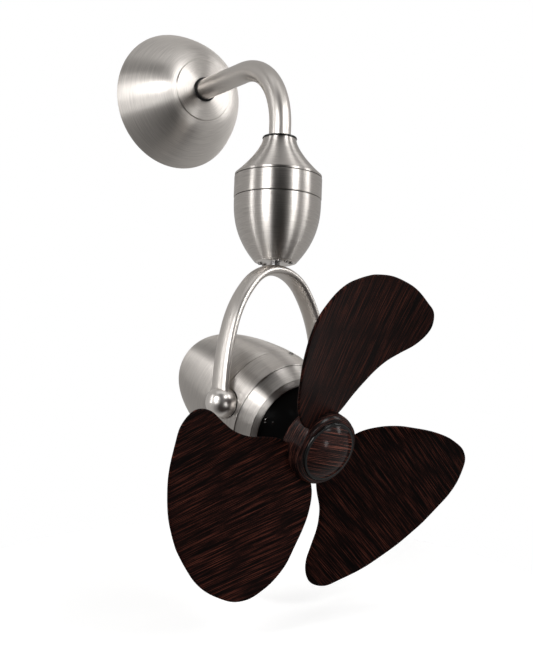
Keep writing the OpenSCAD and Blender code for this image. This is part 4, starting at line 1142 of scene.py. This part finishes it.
room = background((1.0, 0.985, 0.97))
wt.links.new(math_node(wt, "MULTIPLY", dim, ROOM_LIGHT), room.inputs["Strength"])
mix = wt.nodes.new("ShaderNodeMixShader")
wt.links.new(wt.nodes.new("ShaderNodeLightPath").outputs["Is Camera Ray"], mix.inputs[0])
wt.links.new(room.outputs[0], mix.inputs[1])
wt.links.new(background((1, 1, 1)).outputs[0], mix.inputs[2])
wt.links.new(mix.outputs[0], wt.nodes.new("ShaderNodeOutputWorld").inputs[0])
print("room nodes", len(wt.nodes))

# %% [markdown]
# Tall soft lamps stand on both sides, as softboxes do, and one hangs above. Each is given by
# where it is seen from the fan, because that is what decides where its highlight falls. Area
# lamps give less noise than bright patches of the room.

# %% lamps
LAMP_REACH = 3.0
LAMP_AIM = Vector((0, -0.27, -0.30))


def strip(name, azimuth, low, high, width, power):
    """A tall soft lamp; its place and size are in degrees, as seen from the fan."""
    to = seen_at(azimuth, (low + high) / 2)
    data = bpy.data.lights.new(name, "AREA")
    data.shape = "RECTANGLE"
    data.size = LAMP_REACH * math.radians(width)
    data.size_y = LAMP_REACH * math.radians(high - low)
    data.energy = power
    o = bpy.data.objects.new(name, data)
    o.location = LAMP_AIM + to * LAMP_REACH
    o.rotation_euler = (-to).to_track_quat("-Z", "Y").to_euler()
    scene.collection.objects.link(o)


strip("wide_left", -63, 8, 27, 21, 34)
strip("wide_left_low", -63, -14, 8, 21, 12)
strip("wide_right", 14, 12, 40, 15, 28)
strip("narrow_left", -105, -15, 40, 6, 13)
strip("narrow_right", 52, 8, 44, 9, 17)
strip("low_right", 14, -26, -14, 8, 5)
strip("above", -30, 62, 88, 60, 10)
print("lamps", len(bpy.data.lights))

# %% [markdown]
# The camera stands where the photo's did: in front and to the left, below the fan head,
# with a long lens. Its direction, distance and scale were fitted to points of the photo. PX and
# PY say where in the picture the tilt axis falls, and SCALE is in pixels to the metre there.

# %% camera
AZ, EL, ROLL = -32.7, -10.2, 2.1
DIST, SCALE = 2.7, 790.0
PX, PY, W, H = 269.9, 411.2, 533, 666
FILM = 36.0

pivot = Vector((0, -ARM_REACH * MM, -PIVOT_DROP * MM))
back = seen_at(AZ, EL)
azimuth, roll = math.radians(AZ), math.radians(ROLL)
right = Vector((math.cos(azimuth), math.sin(azimuth), 0))
up = back.cross(right)
right, up = (right * math.cos(roll) + up * math.sin(roll),
             up * math.cos(roll) - right * math.sin(roll))
eye = pivot + DIST * back - (PX - W / 2) / SCALE * right + (PY - H / 2) / SCALE * up
cam = bpy.data.cameras.new("photo_camera")
camera = bpy.data.objects.new("photo_camera", cam)
scene.collection.objects.link(camera)
camera.matrix_world = Matrix.Translation(eye) @ Matrix((right, up, back)).transposed().to_4x4()
cam.sensor_fit = "VERTICAL"
cam.sensor_height = FILM
cam.lens = SCALE * DIST / H * FILM
cam.clip_start = 0.05
cam.clip_end = 50
scene.camera = camera
print("lens", round(cam.lens, 1))

# %% [markdown]
# In the photo the blades throw a faint soft shadow on the white below them. A pale sheet lies
# under their reach to catch it, and rises away from the camera, which looks up at the fan. It
# looks white from above, throws no light or shadow on the fan, and can't be seen from below.

# %% floor
FLOOR_RISE = 22
FLOOR_AT = (0, -0.255, -0.738)
FLOOR_R = 0.45
FLOOR_GLOW = 0.59

bm = bmesh.new()
bmesh.ops.create_circle(bm, cap_ends=True, segments=64, radius=FLOOR_R,
                        matrix=Matrix.Translation(FLOOR_AT)
                        @ Matrix.Rotation(math.radians(AZ), 4, "Z")
                        @ Matrix.Rotation(math.radians(FLOOR_RISE), 4, "X"))
mesh = bpy.data.meshes.new("floor")
bm.to_mesh(mesh)
bm.free()
floor = bpy.data.objects.new("floor", mesh)
scene.collection.objects.link(floor)
floor.visible_glossy = False
floor.visible_diffuse = False
floor.visible_shadow = False

paper, pt, skin = new_material("floor_paper")
skin.inputs["Base Color"].default_value = (0.55, 0.55, 0.55, 1)
skin.inputs["Roughness"].default_value = 0.9
skin.inputs["Specular IOR Level"].default_value = 0.0
skin.inputs["Emission Color"].default_value = (1, 1, 1, 1)
skin.inputs["Emission Strength"].default_value = FLOOR_GLOW
under = pt.nodes.new("ShaderNodeNewGeometry")
clear = pt.nodes.new("ShaderNodeBsdfTransparent")
both = pt.nodes.new("ShaderNodeMixShader")
pt.links.new(under.outputs["Backfacing"], both.inputs[0])
pt.links.new(skin.outputs[0], both.inputs[1])
pt.links.new(clear.outputs[0], both.inputs[2])
pt.links.new(both.outputs[0], pt.nodes["Material Output"].inputs["Surface"])
floor.data.materials.append(paper)
print("floor rises by", FLOOR_RISE, "degrees")

# %% [markdown]
# The Standard view shows colours as they are computed, so the white background stays white.

# %% render look
scene.view_settings.view_transform = "Standard"
print("view", scene.view_settings.view_transform)
